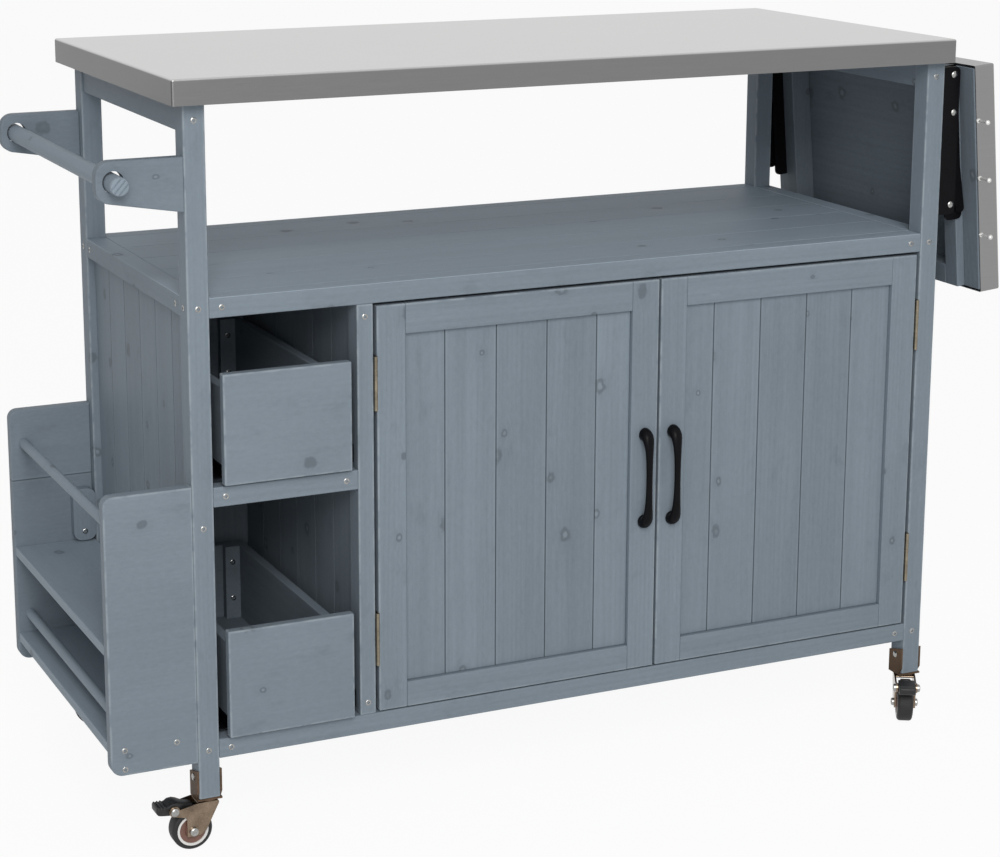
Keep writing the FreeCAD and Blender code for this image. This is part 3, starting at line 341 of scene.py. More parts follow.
def stained_fir(name, grain, boards=None, turned=None, tone=1.0, figure=1.0, seam=0.75, worn=None,
                shelf_top_painted_light=None):
    """Grey-blue fir: the axis of its grain, its boards (how they lie, first edge, width), where grain turns,
    its tone, how strongly figure and seams show, the node whose box has rubbed edges, and the tone of painted
    light on the shelf's upper face."""
    finish, shader, place = new_finish(name)
    axes = axes_of(place)
    fibre = fibre_axes(place, axes, grain, turned)
    # Boards side by side differ in tone and were cut at different places in the tree
    if boards:
        luck, heart, from_edge = board_at(place, axes, boards)
        along = fibre["z"] + luck * 3.7
        across = fibre["x"] + fibre["y"] + luck * 5.0
    else:
        luck = noise(place, 1.7, 0.0)
        heart = fibre["x"] + fibre["y"] * 0.7 + 0.31
        along = fibre["z"]
        across = fibre["x"] + fibre["y"]

    def drawn_out(share):
        """Coordinates pressed together along the grain, so that clouds become streaks."""
        return joined(fibre["x"], fibre["y"], along * share)

    # Small uneven knots: some are dark all over, most are a dark ring round a paler middle
    far, hollow = knots(joined(across, along * 0.8))
    far = far + (noise(place, 130, 2.0) - 0.5) * 1.4
    pale = (1 - far.ramp(0.2, 0.75)) * hollow
    knot = (1 - far.ramp(0.85, 1.45)) * (1 - pale)
    halo = 1 - far.ramp(0.9, 4.2)
    # Growth rings round the heart of the tree, which wanders as it goes up the trunk
    sway = noise(joined(fibre["x"] * 6, fibre["y"] * 6, along * 1.3), 1.0, 2.0) - 0.5
    radius = (heart * heart + 0.0006) ** 0.5 + sway * 0.03 + halo * 0.004
    wave = place.math("SINE", radius * (2 * math.pi / RING_WIDTH)) * 0.5 + 0.5
    # Fibres, broad streaks and blotches of stain
    long_place = drawn_out(0.02)
    threads = noise(long_place, 420, 3.0, 0.6)
    streaks = noise(long_place, 62, 2.0, 0.6)
    blotch = noise(drawn_out(0.45), 8, 3.0)
    rings = wave * wave * blotch
    # Mottled pores, and pale scuffs where the planed surface took less stain
    mottle = noise(drawn_out(0.5), 240, 3.0, 0.7)
    scuffs = noise(drawn_out(0.22), 85, 3.0, 0.75).ramp(0.64, 0.8)
    smudges = noise(drawn_out(0.6), 30, 3.0, 0.6).ramp(0.58, 0.78)
    lines = (streaks - 0.5) * 0.2 + (threads - 0.5) * 0.14 - rings * 0.07
    light = ((luck - 0.5) * 0.1 + (blotch - 0.5) * 0.24 + (mottle - 0.5) * 0.2 + scuffs * 0.12
             - smudges * 0.1 + lines * figure + tone)
    # Painted light: the face at the shelf's height is coloured lighter, for the lamps that fall on it
    if shelf_top_painted_light:
        light = light + (abs(axes["z"] - SHELF_HEIGHT) < SHELF_SKIN) * (shelf_top_painted_light - tone)
    colour = mixed(knot * 0.5 + halo * 0.08, shaded(STAIN, light), KNOT)
    colour = mixed(pale * 0.2, colour, RUBBED)
    if boards:
        # Stain pools in the groove between two boards and is rubbed thin beside it
        pool = 1 - from_edge.ramp(0.0003, 0.0011)
        rub = from_edge.ramp(0.0008, 0.0016) * (1 - from_edge.ramp(0.0016, 0.004))
        colour = mixed(rub * noise(place, 40, 2.0) * 0.25, colour, RUBBED)
        colour = mixed(pool * seam, colour, POOLED)
    if worn:
        edge = 1 - edge_gap(axes, worn).ramp(0.001, 0.0032)
        colour = mixed(edge * noise(place, 60, 3.0).ramp(0.3, 0.6) * 0.6, colour, RUBBED)
    colour.feed(shader, "Base Color")
    (0.58 + (threads - 0.5) * 0.2 - rings * 0.08 + (blotch - 0.5) * 0.1).feed(shader, "Roughness")
    bump(threads * 0.6 - rings * 0.3 - knot * 0.3, 0.3, 0.0005).feed(shader, "Normal")
    shader.inputs["Specular IOR Level"].default_value = WOOD_GLOSS
    return finish


def dress(finish, *nodes):
    """Give a finish to carried-over solids."""
    for name in nodes:
        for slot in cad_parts[name].material_slots:
            slot.material = finish


print("stain", STAIN[:3], "rings of", RING_WIDTH * 1000, "mm")

# %% [markdown]
# Each wooden piece gets its grain along its length, as it would be sawn: posts upright, rails lengthwise,
# shelf boards from side to side. Where one solid holds rails in two directions, a mask on the coordinates
# turns the grain at the joint, and boards that lie side by side are told apart by their width.

# %% Wood of the carcass
SHELF_BOARD, SIDE_BOARD, BACK_BOARD = 0.0768, 0.064, 0.968 / 14
BOARDS_FRONT, BOARDS_LEFT = 28, 26
END_RAILS = 0.4835


def at_x(x):
    return spot(x, 0, 0).x


def at_y(y):
    return spot(0, y, 0).y


def along_x(axes):
    return axes["x"]


def along_y(axes):
    return axes["y"]


def outside_posts(axes):
    """Rails that run from front to back, at either end of the cart."""
    return abs(axes["x"] - at_x(MIDDLE_X)) > END_RAILS


for upright in ("post_front_left", "post_front_right", "post_rear_left", "post_rear_right", "divider_stile"):
    dress(stained_fir(f"fir_{upright}", "z", figure=0.8, worn=upright), upright)
dress(stained_fir("fir_rack_blocks", "z"), "rack_blocks")
# The rails' upper faces at the shelf get the same painted light
dress(stained_fir("fir_rails", "x", turned=("y", outside_posts), shelf_top_painted_light=SHELF_PAINTED_LIGHT), "top_rails",
      "shelf_rails", "base_rails", "drawer_bay_rail", "worktop_core")
# The shelf boards are coloured lighter all over: painted light for the lamps that reach the shelf
dress(stained_fir("fir_shelf", "x", (along_y, at_y(BOARDS_FRONT), SHELF_BOARD), tone=SHELF_PAINTED_LIGHT, seam=0.3),
      "shelf_boards", "floor_boards")
dress(stained_fir("fir_sides", "z", (along_y, at_y(BOARDS_FRONT), SIDE_BOARD), tone=0.97), "side_boards_left",
      "side_boards_right", "divider_boards")
dress(stained_fir("fir_back", "z", (along_x, at_x(BOARDS_LEFT), BACK_BOARD)), "back_boards")
print("carcass dressed in fir")

# %% [markdown]
# A door is a frame round five boards. Its stiles run up and its rails run across, so the grain turns where
# the rails begin. The first board of each door is narrower than the rest, as the joiner ripped it to fit.

# %% Wood of the doors and drawers
DOOR_WIDTH, STILE, DOOR_BOARD = 377.75, 37, 68
DRAWER_BACK = 365


def door_wood(side, left, first_board):
    """The frame and the boards of one door, from its left edge."""
    centre = at_x(left + DOOR_WIDTH / 2)
    half = (DOOR_WIDTH / 2 - STILE) / 1000

    def rails(axes):
        return abs(axes["x"] - centre) < half

    first_seam = at_x(left + STILE + first_board - DOOR_BOARD)
    door_frame = f"door_{side}_frame"
    dress(stained_fir(f"fir_{side}_frame", "z", turned=("x", rails), worn=door_frame), door_frame)
    dress(stained_fir(f"fir_{side}_boards", "z", (along_x, first_seam, DOOR_BOARD / 1000), tone=0.98),
          f"door_{side}_boards")


def drawer_back(axes):
    """The back of a drawer's box, which runs across it."""
    return axes["y"] > at_y(DRAWER_BACK)


door_wood("left", left=231, first_board=53)
door_wood("right", left=611.75, first_board=42)
for drawer_front in ("drawer_upper_front", "drawer_lower_front"):
    dress(stained_fir(f"fir_{drawer_front}", "x", tone=0.98, figure=0.4, worn=drawer_front), drawer_front)
dress(stained_fir("fir_drawer_boxes", "y", turned=("x", drawer_back), tone=0.97), "drawer_upper_box",
      "drawer_lower_box")
print("doors and drawers dressed in fir")

# %% [markdown]
# The towel rail and the rack hang on the left side. The rack's front end is one wide board, but its rear end
# is glued up from two, so there a seam shows. The rods are turned along the grain. The drop leaf hides a
# wooden frame under its steel.

# %% Wood of the rack, towel rail and leaf
LEAF_RAILS = 0.18
END_SEAM, END_BOARD, PAST_SEAM = -0.0455, 0.4, 0.3


def leaf_rails(axes):
    """The two rails of the leaf that hang down beside the brackets."""
    return abs(axes["y"] - at_y(MIDDLE_Y)) > LEAF_RAILS


def glued_end(axes):
    """Height on the rear end of the rack; the front end is moved up, past its seam."""
    return axes["z"] + (axes["y"] < at_y(MIDDLE_Y)) * PAST_SEAM


dress(stained_fir("fir_rack_ends", "x", (glued_end, END_SEAM, END_BOARD), tone=0.93, figure=0.4,
                  worn="rack_ends"), "rack_ends")
dress(stained_fir("fir_towel_brackets", "x", tone=0.86, figure=0.5), "towel_brackets")
# The rack shelves are coloured lighter than the rest: painted light, for the lamps that fall on them from the
# upper left
dress(stained_fir("fir_rack_shelves", "y", tone=1.34), "rack_shelves")
dress(stained_fir("fir_rods", "y", tone=1.18, figure=0.6), "rack_rods", "towel_bar")
dress(stained_fir("fir_leaf", "y", turned=("z", leaf_rails), tone=0.8), "leaf_frame")
print("rack, towel rail and leaf dressed in fir")

# %% [markdown]
# The worktop and the leaf are trays of stainless steel, brushed along the cart. The brush leaves fine
# parallel scratches that spread a reflection across them. The aprons, bent down from the top, are painted
# darker than the flat top, and the one at the left end darker still: painted shade for the dimmer
# surroundings that an upright face reflects. So the colour changes where the sheet is bent.

# %% Brushed steel
TOP_STEEL = (0.525, 0.525, 0.523, 1)
SIDE_APRON_PAINTED_SHADE = 0.56
LEFT_APRON = -17
BEND = (0.0452, 0.0472)
LEAF_FOLD = math.radians(85)
LEAF_PIVOT = spot(1035, 0, 872.2)


def brushed_steel(name, above_pivot, apron_painted_shade):
    """Steel with scratches: how to find the height over the fold's pivot, and the tone of painted shade on
    the aprons.
    """
    finish, shader, place = new_finish(name)
    axes = axes_of(place)
    scratches = noise(stretched(place, 1, 60, 60), 28, 3.0, 0.7)
    cloud = noise(place, 5, 2.0)
    # Below the bend the colour is painted shade: the aprons darker than the top, the left end darker still
    flat = above_pivot(axes).ramp(*BEND)
    side = apron_painted_shade * SIDE_APRON_PAINTED_SHADE
    apron_colour_painted_darker = mixed(axes["x"] < at_x(LEFT_APRON), (apron_painted_shade, apron_painted_shade, apron_painted_shade, 1), (side, side, side, 1))
    colour = mixed(flat, apron_colour_painted_darker, TOP_STEEL)
    colour = shaded(colour, 0.98 + (scratches - 0.5) * 0.16 + (cloud - 0.5) * 0.06)
    colour.feed(shader, "Base Color")
    (0.33 + (scratches - 0.5) * 0.22 + (cloud - 0.5) * 0.06).feed(shader, "Roughness")
    bump(scratches, 0.08, 0.0002).feed(shader, "Normal")
    shader.inputs["Metallic"].default_value = 1.0
    return finish


def over_worktop(axes):
    return axes["z"] - LEAF_PIVOT.z


def over_leaf(axes):
    return (axes["x"] - LEAF_PIVOT.x) * math.sin(LEAF_FOLD) + (axes["z"] - LEAF_PIVOT.z) * math.cos(LEAF_FOLD)


dress(brushed_steel("worktop_brushed_steel", over_worktop, 0.215), "worktop_steel")
dress(brushed_steel("leaf_brushed_steel", over_leaf, 0.28), "leaf_steel")
print("steel of the worktop and the leaf brushed")

# %% [markdown]
# The small metal and plastic pieces each have one plain finish with a little life in it: satin black paint on
# the handles and brackets, dull brass on the hinges and zinc on the screws. The casters' forks and saddles are
# plated, and their colours are painted reflections: a warm brown on the forks for the brown surroundings that
# they mirror, a dark matt brown on the saddles for dark surroundings. One function makes them all, from a
# colour, how much of a metal it is, how rough and how uneven it is, the scale of its clouds and how much it
# shines.

# %% Metal and plastic
def small_finish(name, colour, metal, rough, uneven, scale, gloss=0.5):
    """A plated, painted or moulded finish with clouds in its tone and polish."""
    finish, shader, place = new_finish(name)
    cloud = noise(place, scale, 3.0)
    speck = noise(place, scale * 14, 2.0, 0.6)
    shaded(colour, 1 + (cloud - 0.5) * uneven * 2 + (speck - 0.5) * uneven).feed(shader, "Base Color")
    (rough + (cloud - 0.5) * uneven * 0.5 + (speck - 0.5) * 0.1).feed(shader, "Roughness")
    bump(speck, 0.1, 0.0002).feed(shader, "Normal")
    shader.inputs["Metallic"].default_value = metal
    shader.inputs["Specular IOR Level"].default_value = gloss
    return finish


black_paint = small_finish("satin_black_paint", (0.005, 0.005, 0.006, 1), 0.0, 0.3, 0.3, 60, 0.06)
brass = small_finish("dull_hinge_brass", (0.24, 0.208, 0.155, 1), 1.0, 0.34, 0.6, 90)
# Painted reflection: the forks' chrome is coloured a warm brown with uneven clouds, for the brown surroundings
# it mirrors
fork_plating_painted_reflection = small_finish("caster_plating_painted_warm_reflection", (0.215, 0.162, 0.118, 1), 1.0, 0.16, 0.9, 52)
# Painted reflection: the saddles get a dark matt brown that stands for the dark surroundings mirrored in their
# chrome
saddle_painted_reflection = small_finish("saddle_plating_painted_dark_reflection", (0.115, 0.075, 0.05, 1), 0.0, 0.4, 0.6, 38, 0.03)
bright_pegs = small_finish("bright_pegs", (0.72, 0.72, 0.7, 1), 0.45, 0.28, 0.2, 60)
zinc = small_finish("zinc_screws", (0.34, 0.34, 0.33, 1), 1.0, 0.25, 0.5, 420)
catch_plastic = small_finish("grey_catch_plastic", (0.2, 0.2, 0.2, 1), 0.0, 0.5, 0.2, 60)
rubber = small_finish("tyre_rubber", (0.021, 0.021, 0.022, 1), 0.0, 0.6, 0.3, 110, 0.3)
ring_plastic = small_finish("white_ring_plastic", (0.68, 0.67, 0.65, 1), 0.0, 0.4, 0.08, 80)
hub_plastic = small_finish("brown_hub_plastic", (0.15, 0.075, 0.055, 1), 0.0, 0.4, 0.3, 80)
pedal_plastic = small_finish("black_pedal_plastic", (0.016, 0.016, 0.017, 1), 0.0, 0.45, 0.35, 120, 0.35)

CORNERS = ("front_left", "front_right", "rear_left", "rear_right")
dress(black_paint, "drawer_slides", "drawer_upper_runners", "drawer_lower_runners", "leaf_wall_arms",
      "leaf_arms", "strut_lower_links", "strut_upper_links")
dress(brass, "door_hinge_plates", "door_left_hinges", "door_right_hinges")
dress(saddle_painted_reflection, "caster_saddles")
dress(fork_plating_painted_reflection, *(f"caster_fork_{corner}" for corner in CORNERS))
dress(bright_pegs, "leaf_hooks")
dress(catch_plastic, "door_catches")
print("metal and plastic finishes ready")

# %% [markdown]
# Hand modelling repeats a few moves: start a piece with nothing else selected, pick faces by where they are
# or where they point, and hand the finished piece over to the body that it moves with.

# %% Hand moves
SMOOTH_UP_TO = math.radians(35)
DRIVEN_TURN = 1.13


def pick(test):
    """In edit mode, select the faces whose middle and normal pass a test."""
    bpy.ops.mesh.select_mode(type="FACE")
    bpy.ops.mesh.select_all(action="DESELECT")
    bpy.ops.object.mode_set(mode="OBJECT")
    for face in bpy.context.object.data.polygons:
        face.select = test(face.center, face.normal)
    bpy.ops.object.mode_set(mode="EDIT")


def settle(piece, name, finish, body, slot, *nodes):
    """Name a finished piece, put its place into its mesh and let it ride on a body, in place of its solids."""
    bpy.ops.object.select_all(action="DESELECT")
    piece.select_set(True)
    bpy.context.view_layer.objects.active = piece
    bpy.ops.object.transform_apply(location=True, rotation=True, scale=True)
    bpy.ops.object.shade_smooth_by_angle(angle=SMOOTH_UP_TO)
    piece.name = name
    piece.data.name = name
    if finish:
        piece.data.materials.clear()
        piece.data.materials.append(finish)
    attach(piece, body)
    for node in nodes:
        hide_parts(node)
    return piece


def copy_of(master):
    """A copy of a piece, with a mesh of its own."""
    copy = master.copy()
    copy.data = master.data.copy()
    bpy.context.collection.objects.link(copy)
    return copy


def cut(piece, tool, name):
    """Take the shape of a tool out of a piece, and put the tool away."""
    bpy.context.view_layer.objects.active = piece
    cutting = piece.modifiers.new(name, "BOOLEAN")
    cutting.operation = "DIFFERENCE"
    cutting.object = tool
    bpy.ops.object.modifier_apply(modifier=name)
    bpy.data.objects.remove(tool)


def scattered(master, name, places, body):
    """Copies of a piece that face out of the wood, each driven round a little further, joined into one."""
    copies = []
    for number, (place, facing) in enumerate(places):
        copy = copy_of(master)
        turn = Vector(facing).to_track_quat("Z", "Y") @ Quaternion((0, 0, 1), number * DRIVEN_TURN)
        copy.rotation_euler = turn.to_euler()
        copy.location = place
        copies.append(copy)
    bpy.ops.object.select_all(action="DESELECT")
    for copy in copies:
        copy.select_set(True)
    bpy.context.view_layer.objects.active = copies[0]
    bpy.ops.object.join()
    return settle(bpy.context.object, name, zinc, body, "zinc")


print("hand moves ready")

# %% [markdown]
# Zinc screws with a cross recess hold the frame together, and their heads show on the posts and rails.
# A head is a short round drum whose top is drawn in twice and raised, so that it is low and domed. The
# recess is cut with a plus-shaped punch, made from a block with its four sides pulled out.

# %% One screw head
HEAD_RADIUS, HEAD_RISE = 0.0036, 0.0009
HEAD_STEPS = ((0.0005, 0.0003), (0.0007, 0.0002))
PUNCH_WIDTH, PUNCH_ARM = 0.0014, 0.0013

bpy.ops.object.select_all(action="DESELECT")
bpy.ops.mesh.primitive_cylinder_add(vertices=24, radius=HEAD_RADIUS, depth=HEAD_RISE * 0.6,
                                    location=(0, 0, HEAD_RISE * 0.3))
screw = bpy.context.object
bpy.ops.object.mode_set(mode="EDIT")
pick(lambda middle, normal: normal.z > 0.9)
for inset, rise in HEAD_STEPS:
    bpy.ops.mesh.inset(thickness=inset)
    bpy.ops.transform.translate(value=(0, 0, rise))
bpy.ops.object.mode_set(mode="OBJECT")

bpy.ops.object.select_all(action="DESELECT")
bpy.ops.mesh.primitive_cube_add(size=PUNCH_WIDTH, location=(0, 0, HEAD_RISE))
punch = bpy.context.object
bpy.ops.object.mode_set(mode="EDIT")
pick(lambda middle, normal: abs(normal.z) < 0.5)
bpy.ops.mesh.extrude_faces_move(TRANSFORM_OT_shrink_fatten={"value": PUNCH_ARM})
bpy.ops.object.mode_set(mode="OBJECT")
cut(screw, punch, "recess")
print("screw head:", len(screw.data.polygons), "faces")

# %% [markdown]
# The joiner drove a screw through every joint of the carcass. The lists below follow the joints: the ends of
# the shelf and base rails, the top of each post, and a few in the drawer bay, the rack and the drawers.

# %% Screws in the frame
LEFT, RIGHT, FRONT, BACK = (-1, 0, 0), (1, 0, 0), (0, -1, 0), (0, 1, 0)
POSTS_X, POSTS_Y = (13, 1007), (14, 426)
RAIL_ENDS_X, RAIL_ENDS_Y = (41, 979), (43, 397)
JOINTS_Z, TOP_Z = (656, 123.5), 870.8
BAY = [(41, 432.5), (191, 432.5), (13, 396.5), (216.25, 629), (216.25, 150.5)]
RACK = [(-26, 141), (-89, 141), (-89, 117.5)]
BLOCK_X, BLOCK_FACES, BLOCK_Z = -15, ((411, FRONT), (29, BACK)), (279, 324)
DRAWERS_LOW = {"upper": 447.5, "lower": 138.5}
CLEATS_X, CLEATS_Y, CLEAT_RISES = (64, 168), 354, (40, 90)

faces = [(x, z) for x in POSTS_X + RAIL_ENDS_X for z in JOINTS_Z] + [(x, TOP_Z) for x in POSTS_X]
sides = [(y, z) for y in RAIL_ENDS_Y for z in JOINTS_Z] + [(y, JOINTS_Z[0]) for y in POSTS_Y]
places = [(spot(x, 0, z), FRONT) for x, z in faces + BAY + RACK]
places += [(spot(x, CART_DEPTH, z), BACK) for x, z in faces]
places += [(spot(0, y, z), LEFT) for y, z in sides]
places += [(spot(CART_WIDTH, y, z), RIGHT) for y, z in sides]
places += [(spot(BLOCK_X, y, z), way) for y, way in BLOCK_FACES for z in BLOCK_Z]
frame_heads = scattered(screw, "frame_screw_heads", places, "cabinet")
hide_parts("frame_screws")
for level, low in DRAWERS_LOW.items():
    cleats = [(spot(x, CLEATS_Y, low + rise), FRONT) for x in CLEATS_X for rise in CLEAT_RISES]
    scattered(screw, f"drawer_{level}_screws", cleats, f"drawer_{level}")
bpy.data.objects.remove(screw)
print("screws in the frame:", len(places))

# %% [markdown]
# Round rivets hold the folding brackets, round-headed bolts hold the casters' saddles to the posts, and the
# ends of the axles and of the brakes' pins are domed too. A rivet head is a low drum whose top is drawn in
# three times, a little higher each time, until it is a dome. Wheels trail behind their swivel, so an axle's
# place follows from the angle at which its caster came to rest.

# %% Rivets and bolts
DOME_STEPS = ((0.0007, 0.0007), (0.0012, 0.0005), (0.0015, 0.0002))
RIVET, PIN_END = {"radius": 0.0044, "drum": 0.0006}, {"radius": 0.00508, "drum": 0.0026}
BRACKET_PIVOTS = ((1035, 0.3, 872.2), (1037.5, 1.2, 823.1), (1038, 0.3, 703))
SADDLE_FACE, BOLT_Z = 15.4, 88
SWIVELS = {"front_left": 180, "front_right": 240, "rear_left": 150, "rear_right": 205}
POSTS = dict(zip(CORNERS, ((x, y) for y in POSTS_Y for x in POSTS_X)))
AXLE, BRAKE_PIN, FORK_FACE = (21, 25), (44.02, 53.84), 14.1


def domed_head(radius, drum):
    """A drum with a domed top."""
    bpy.ops.object.select_all(action="DESELECT")
    bpy.ops.mesh.primitive_cylinder_add(vertices=20, radius=radius, depth=drum, location=(0, 0, drum / 2))
    bpy.ops.object.mode_set(mode="EDIT")
    pick(lambda middle, normal: normal.z > 0.9)
    for inset, rise in DOME_STEPS:
        bpy.ops.mesh.inset(thickness=inset)
        bpy.ops.transform.translate(value=(0, 0, rise))
    bpy.ops.object.mode_set(mode="OBJECT")
    bpy.ops.object.transform_apply(location=True, rotation=True, scale=True)
    return bpy.context.object


dome, pin_head = domed_head(**RIVET), domed_head(**PIN_END)
heads = [(spot(x, deep, z), FRONT) for x, deep, z in BRACKET_PIVOTS]
heads += [(spot(x, CART_DEPTH - deep, z), BACK) for x, deep, z in BRACKET_PIVOTS]
scattered(dome, "bracket_rivets", heads, "cabinet")
bolts = [(spot(x - SADDLE_FACE, y, BOLT_Z), LEFT) for x in POSTS_X for y in POSTS_Y]
bolts += [(spot(x + SADDLE_FACE, y, BOLT_Z), RIGHT) for x in POSTS_X for y in POSTS_Y]
scattered(dome, "saddle_bolts", bolts, "cabinet")
for corner, (x, y) in POSTS.items():
    angle = math.radians(SWIVELS[corner])
    pins = [AXLE, BRAKE_PIN] if corner.startswith("front") else [AXLE]
    ends = []
    for trail, height in pins:
        for side in (-1, 1):
            outward = (-side * math.sin(angle), side * math.cos(angle), 0)
            ends.append((spot(x + trail * math.cos(angle) + FORK_FACE * outward[0],
                              y + trail * math.sin(angle) + FORK_FACE * outward[1], height), outward))
    scattered(pin_head, f"axle_ends_{corner}", ends, f"caster_{corner}")
for master in (dome, pin_head):
    bpy.data.objects.remove(master)
print("rivets:", len(heads), "bolts:", len(bolts), "and domed axle ends on the casters")

# %% [markdown]
# A cast iron bow pull is on each door. Its bar swells into a spoon at both ends and turns back to the wood,
# where it stands on an oval foot. It could be a curve with a bevel, but its thickness changes all along. So an
# oval is extruded from station to station, as a smith would draw out a bar: each station says how far out and
# how high it is, how far the bar has turned, and its half width and half thickness.

# %% Bow handles
HANDLE_HEIGHT, HANDLES_X = 388.5, {"left": 590.25, "right": 630.25}
HALF_BOW = ((0, -56.5, 0, 8.3, 9), (2.4, -56.5, 0, 8.5, 9.2), (6, -56.1, 16, 8.6, 8.8),
            (10.2, -54, 42, 8.3, 6.9), (13.4, -48.6, 65, 7.3, 5.2), (15.2, -39.2, 80, 5.6, 4.2),
            (16, -23, 87, 4.5, 3.7), (16.2, 0, 90, 4.1, 3.5))
BOW = HALF_BOW + tuple((out, -up, 180 - turn, wide, thick)
                       for out, up, turn, wide, thick in HALF_BOW[-2::-1])


def bow_handle(side, x):
    """One pull, centred on a stile."""
    stations = [(spot(x, -out, HANDLE_HEIGHT + up), math.radians(turn), wide / 1000, thick / 1000)
                for out, up, turn, wide, thick in BOW]
    place, turned, wide, thick = stations[0]
    bpy.ops.object.select_all(action="DESELECT")
    bpy.ops.mesh.primitive_circle_add(vertices=12, radius=thick, fill_type="NGON", location=place,
                                      rotation=(math.pi / 2, 0, 0))
    pull = bpy.context.object
    bpy.ops.object.transform_apply(location=True, rotation=True, scale=True)
    bpy.ops.object.mode_set(mode="EDIT")
    bpy.ops.mesh.select_all(action="SELECT")
    bpy.ops.transform.resize(value=(wide / thick, 1, 1), center_override=place)
    for spot_now, turn_now, wide_now, thick_now in stations[1:]:
        bpy.ops.mesh.extrude_region_move(TRANSFORM_OT_translate={"value": spot_now - place})
        size = thick_now / thick
        bpy.ops.transform.resize(value=(wide_now / wide, size, size), center_override=spot_now)
        if turn_now != turned:
            bpy.ops.transform.rotate(value=turn_now - turned, orient_axis="X", center_override=spot_now)
        place, turned, wide, thick = spot_now, turn_now, wide_now, thick_now
    bpy.ops.mesh.select_all(action="SELECT")
    bpy.ops.mesh.normals_make_consistent(inside=False)
    bpy.ops.object.mode_set(mode="OBJECT")
    rounding = pull.modifiers.new("rounding", "SUBSURF")
    rounding.levels = rounding.render_levels = 2
    bpy.ops.object.modifier_apply(modifier="rounding")
    return settle(pull, f"bow_handle_{side}", black_paint, f"door_{side}", "black_steel",
                  f"door_{side}_handle")


pulls = [bow_handle(side, x) for side, x in HANDLES_X.items()]
print("handle faces:", [len(pull.data.polygons) for pull in pulls])

# %% [markdown]
# A caster's wheel is a black tyre pressed on a white ring, round a brown hub. It could be spun from a profile,
# but a drum shaped from both sides is shorter: bevel its rims, then draw the sides in ring by ring, and push
# each ring in or out. The last ring is opened and bridged, so that the axle goes through.

# %% Wheels
TYRE, TREAD_HALF, TYRE_ROUND = 0.025, 0.010, 0.004
SIDE_RINGS = ((0.0015, 0), (0.0003, 0.0005), (0.0028, 0), (0.0003, -0.001), (0.0062, -0.0004),
              (0.0006, 0.0019), (0.00625, 0))
TYRE_INSIDE, WHITE_INSIDE = 0.0194, 0.0162


def pushed(half, amount):
    """Move the two picked sides of the drum apart, or together; gives its new half width."""
    bpy.ops.transform.resize(value=(1, 1 + amount / half, 1), center_override=(0, 0, 0))
    return half + amount


bpy.ops.object.select_all(action="DESELECT")
bpy.ops.mesh.primitive_cylinder_add(vertices=48, radius=TYRE, depth=2 * TREAD_HALF, location=(0, 0, 0),
                                    rotation=(math.pi / 2, 0, 0))
wheel = bpy.context.object
bpy.ops.object.transform_apply(location=True, rotation=True, scale=True)
bpy.ops.object.mode_set(mode="EDIT")
pick(lambda middle, normal: abs(normal.y) > 0.9)
bpy.ops.mesh.region_to_loop()
bpy.ops.mesh.bevel(offset=TYRE_ROUND, segments=5)
pick(lambda middle, normal: abs(normal.y) > 0.99 and middle.xz.length < 0.001)
half = TREAD_HALF
for inset, out in SIDE_RINGS:
    bpy.ops.mesh.inset(thickness=inset)
    if out:
        half = pushed(half, out)
bpy.ops.mesh.bridge_edge_loops()
bpy.ops.mesh.select_all(action="SELECT")
bpy.ops.mesh.normals_make_consistent(inside=False)
bpy.ops.object.mode_set(mode="OBJECT")
for finish in (rubber, ring_plastic, hub_plastic):
    wheel.data.materials.append(finish)
for face in wheel.data.polygons:
    reach = max(wheel.data.vertices[v].co.xz.length for v in face.vertices)
    face.material_index = 0 if reach > TYRE_INSIDE else (1 if reach > WHITE_INSIDE else 2)
print("wheel faces:", len(wheel.data.polygons))

# %% [markdown]
# The four wheels are copies of that one. A caster swivels, so each has come to rest at its own angle.

# %% Four casters
for corner, angle in SWIVELS.items():
    copy = copy_of(wheel)
    low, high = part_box(f"caster_wheel_{corner}")
    copy.location = (low + high) / 2
    copy.rotation_euler = (0, 0, math.radians(angle))
    settle(copy, f"wheel_{corner}", None, f"wheel_{corner}", "wheel_rubber", f"caster_wheel_{corner}")
bpy.data.objects.remove(wheel)
print("wheels:", list(SWIVELS))

# %% [markdown]
# The front casters have a brake. Its black lever rides on a pin over the wheel, humps over that pin and ends in
# a ribbed tread for the toe. Its outline from the side is drawn as stations again: how far from the swivel, the
# lower and the upper edge, and the half width, this time with a square section. The ribs are stations too: up,
# down, up. The bore for the pin is cut last.

# %% Brake pedals
PEDAL = ((20, 54.8, 57.8, 6.5), (30, 54.2, 59.4, 7.5), (36, 51.8, 61.7, 10.6), (41, 49.8, 63.1, 11.1),
         (46.5, 48.8, 62.7, 11.1), (50, 48.6, 60.4, 10.8), (53, 49, 59.5, 10.8), (54, 49.2, 60.8, 11),
         (55.4, 49.3, 60.9, 11), (55.9, 49.4, 59.6, 11), (57.3, 49.6, 59.6, 11), (57.8, 49.7, 61, 11.1),
         (59.2, 49.9, 61, 11.1), (59.7, 50, 59.7, 11.1), (61.1, 50.3, 59.7, 11.1), (61.6, 50.4, 61, 11.1),
         (63.2, 51, 60.7, 10.8), (65, 53, 59, 9.5))
PEDAL_ROUND, PIN_BORE, DRILL_LENGTH = 0.0007, 0.0026, 0.04

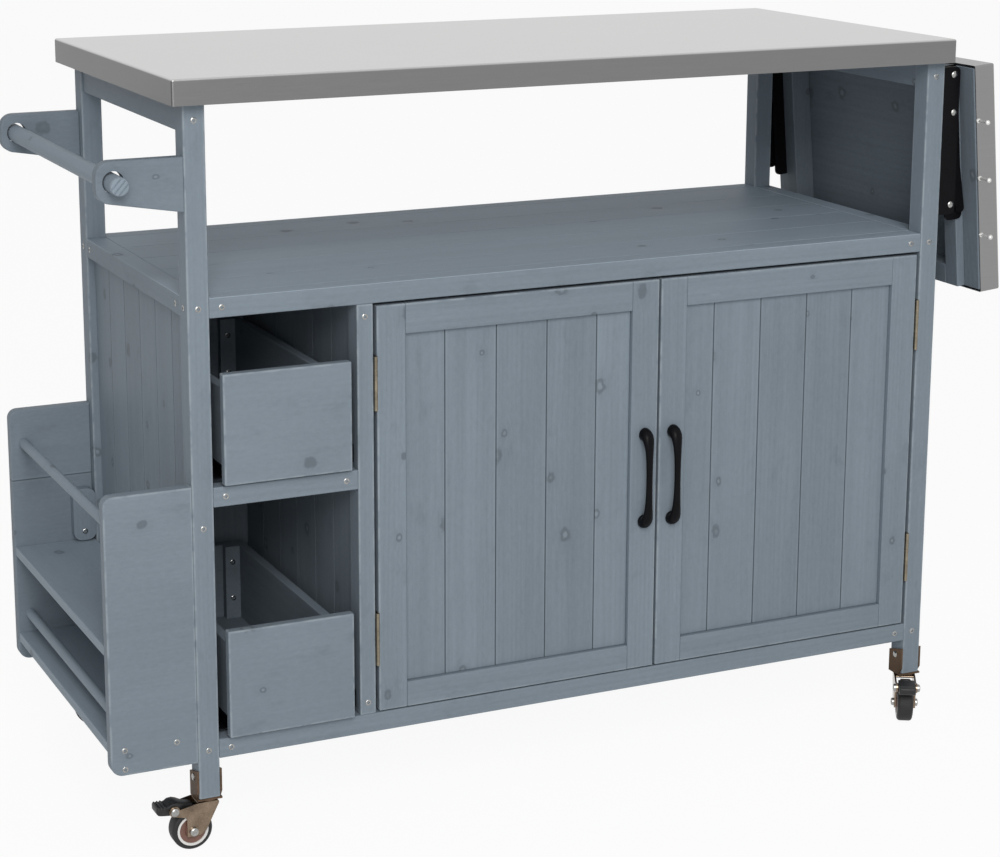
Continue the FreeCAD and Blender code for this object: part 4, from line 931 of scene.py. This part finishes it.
bpy.ops.object.select_all(action="DESELECT")
start, low, high, half = PEDAL[0]
bpy.ops.mesh.primitive_plane_add(size=1, location=(start / 1000, 0, (low + high) / 2000),
                                 rotation=(0, math.pi / 2, 0))
pedal = bpy.context.object
pedal.scale = ((high - low) / 1000, 2 * half / 1000, 1)
bpy.ops.object.transform_apply(location=True, rotation=True, scale=True)
bpy.ops.object.mode_set(mode="EDIT")
bpy.ops.mesh.select_all(action="SELECT")
for next_start, next_low, next_high, next_half in PEDAL[1:]:
    rise = (next_low + next_high - low - high) / 2
    step = ((next_start - start) / 1000, 0, rise / 1000)
    bpy.ops.mesh.extrude_region_move(TRANSFORM_OT_translate={"value": step})
    bpy.ops.transform.resize(value=(1, next_half / half, (next_high - next_low) / (high - low)),
                             center_override=(next_start / 1000, 0, (next_low + next_high) / 2000))
    start, low, high, half = next_start, next_low, next_high, next_half
bpy.ops.mesh.select_all(action="SELECT")
bpy.ops.mesh.normals_make_consistent(inside=False)
bpy.ops.object.mode_set(mode="OBJECT")
soften = pedal.modifiers.new("soften", "BEVEL")
soften.width = PEDAL_ROUND
soften.segments = 2
bpy.ops.object.modifier_apply(modifier="soften")
bpy.ops.object.select_all(action="DESELECT")
bpy.ops.mesh.primitive_cylinder_add(vertices=20, radius=PIN_BORE, depth=DRILL_LENGTH,
                                    location=(BRAKE_PIN[0] / 1000, 0, BRAKE_PIN[1] / 1000),
                                    rotation=(math.pi / 2, 0, 0))
cut(pedal, bpy.context.object, "bore")
for corner in ("front_left", "front_right"):
    copy = copy_of(pedal)
    copy.location = spot(*POSTS[corner], 0)
    copy.rotation_euler = (0, 0, math.radians(SWIVELS[corner]))
    settle(copy, f"brake_lever_{corner}", pedal_plastic, f"brake_{corner}", "pedal_plastic",
           f"brake_pedal_{corner}")
bpy.data.objects.remove(pedal)
print("brake levers on the front casters")

# %% [markdown]
# The towel bar is a loose dowel, and its front end has three slanting grooves where it was gripped. They are
# cut into a thin disc with a comb of three blades, one blade copied twice.

# %% Grooved end of the towel bar
END_PLACE = spot(-81, -24.6, 806.1)
END_RADIUS, END_DEPTH, END_ROUND = 0.0103, 0.0022, 0.0008
BLADE, BLADE_GAP, SLANT = (0.03, 0.0024, 0.0016), 0.0052, math.radians(-48)

bpy.ops.object.select_all(action="DESELECT")
bpy.ops.mesh.primitive_cylinder_add(vertices=32, radius=END_RADIUS, depth=END_DEPTH, location=END_PLACE,
                                    rotation=(math.pi / 2, 0, 0))
disc = bpy.context.object
rim = disc.modifiers.new("rim", "BEVEL")
rim.width = END_ROUND
rim.segments = 2
bpy.ops.object.modifier_apply(modifier="rim")
bpy.ops.object.select_all(action="DESELECT")
bpy.ops.mesh.primitive_cube_add(size=1, location=END_PLACE + Vector((0, -END_DEPTH / 2, 0)))
comb = bpy.context.object
comb.scale = BLADE
comb.rotation_euler = (0, SLANT, 0)
bpy.ops.object.transform_apply(location=True, rotation=True, scale=True)
bpy.ops.object.mode_set(mode="EDIT")
bpy.ops.mesh.select_all(action="SELECT")
for gap in (BLADE_GAP, -2 * BLADE_GAP):
    step = (gap * math.sin(SLANT), 0, gap * math.cos(SLANT))
    bpy.ops.mesh.duplicate_move(TRANSFORM_OT_translate={"value": step})
bpy.ops.object.mode_set(mode="OBJECT")
cut(disc, comb, "grooves")
bar_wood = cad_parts["towel_bar"].material_slots[0].material
settle(disc, "towel_bar_end", bar_wood, "towel_bar", "painted_fir")
print("grooved end:", len(disc.data.polygons), "faces")
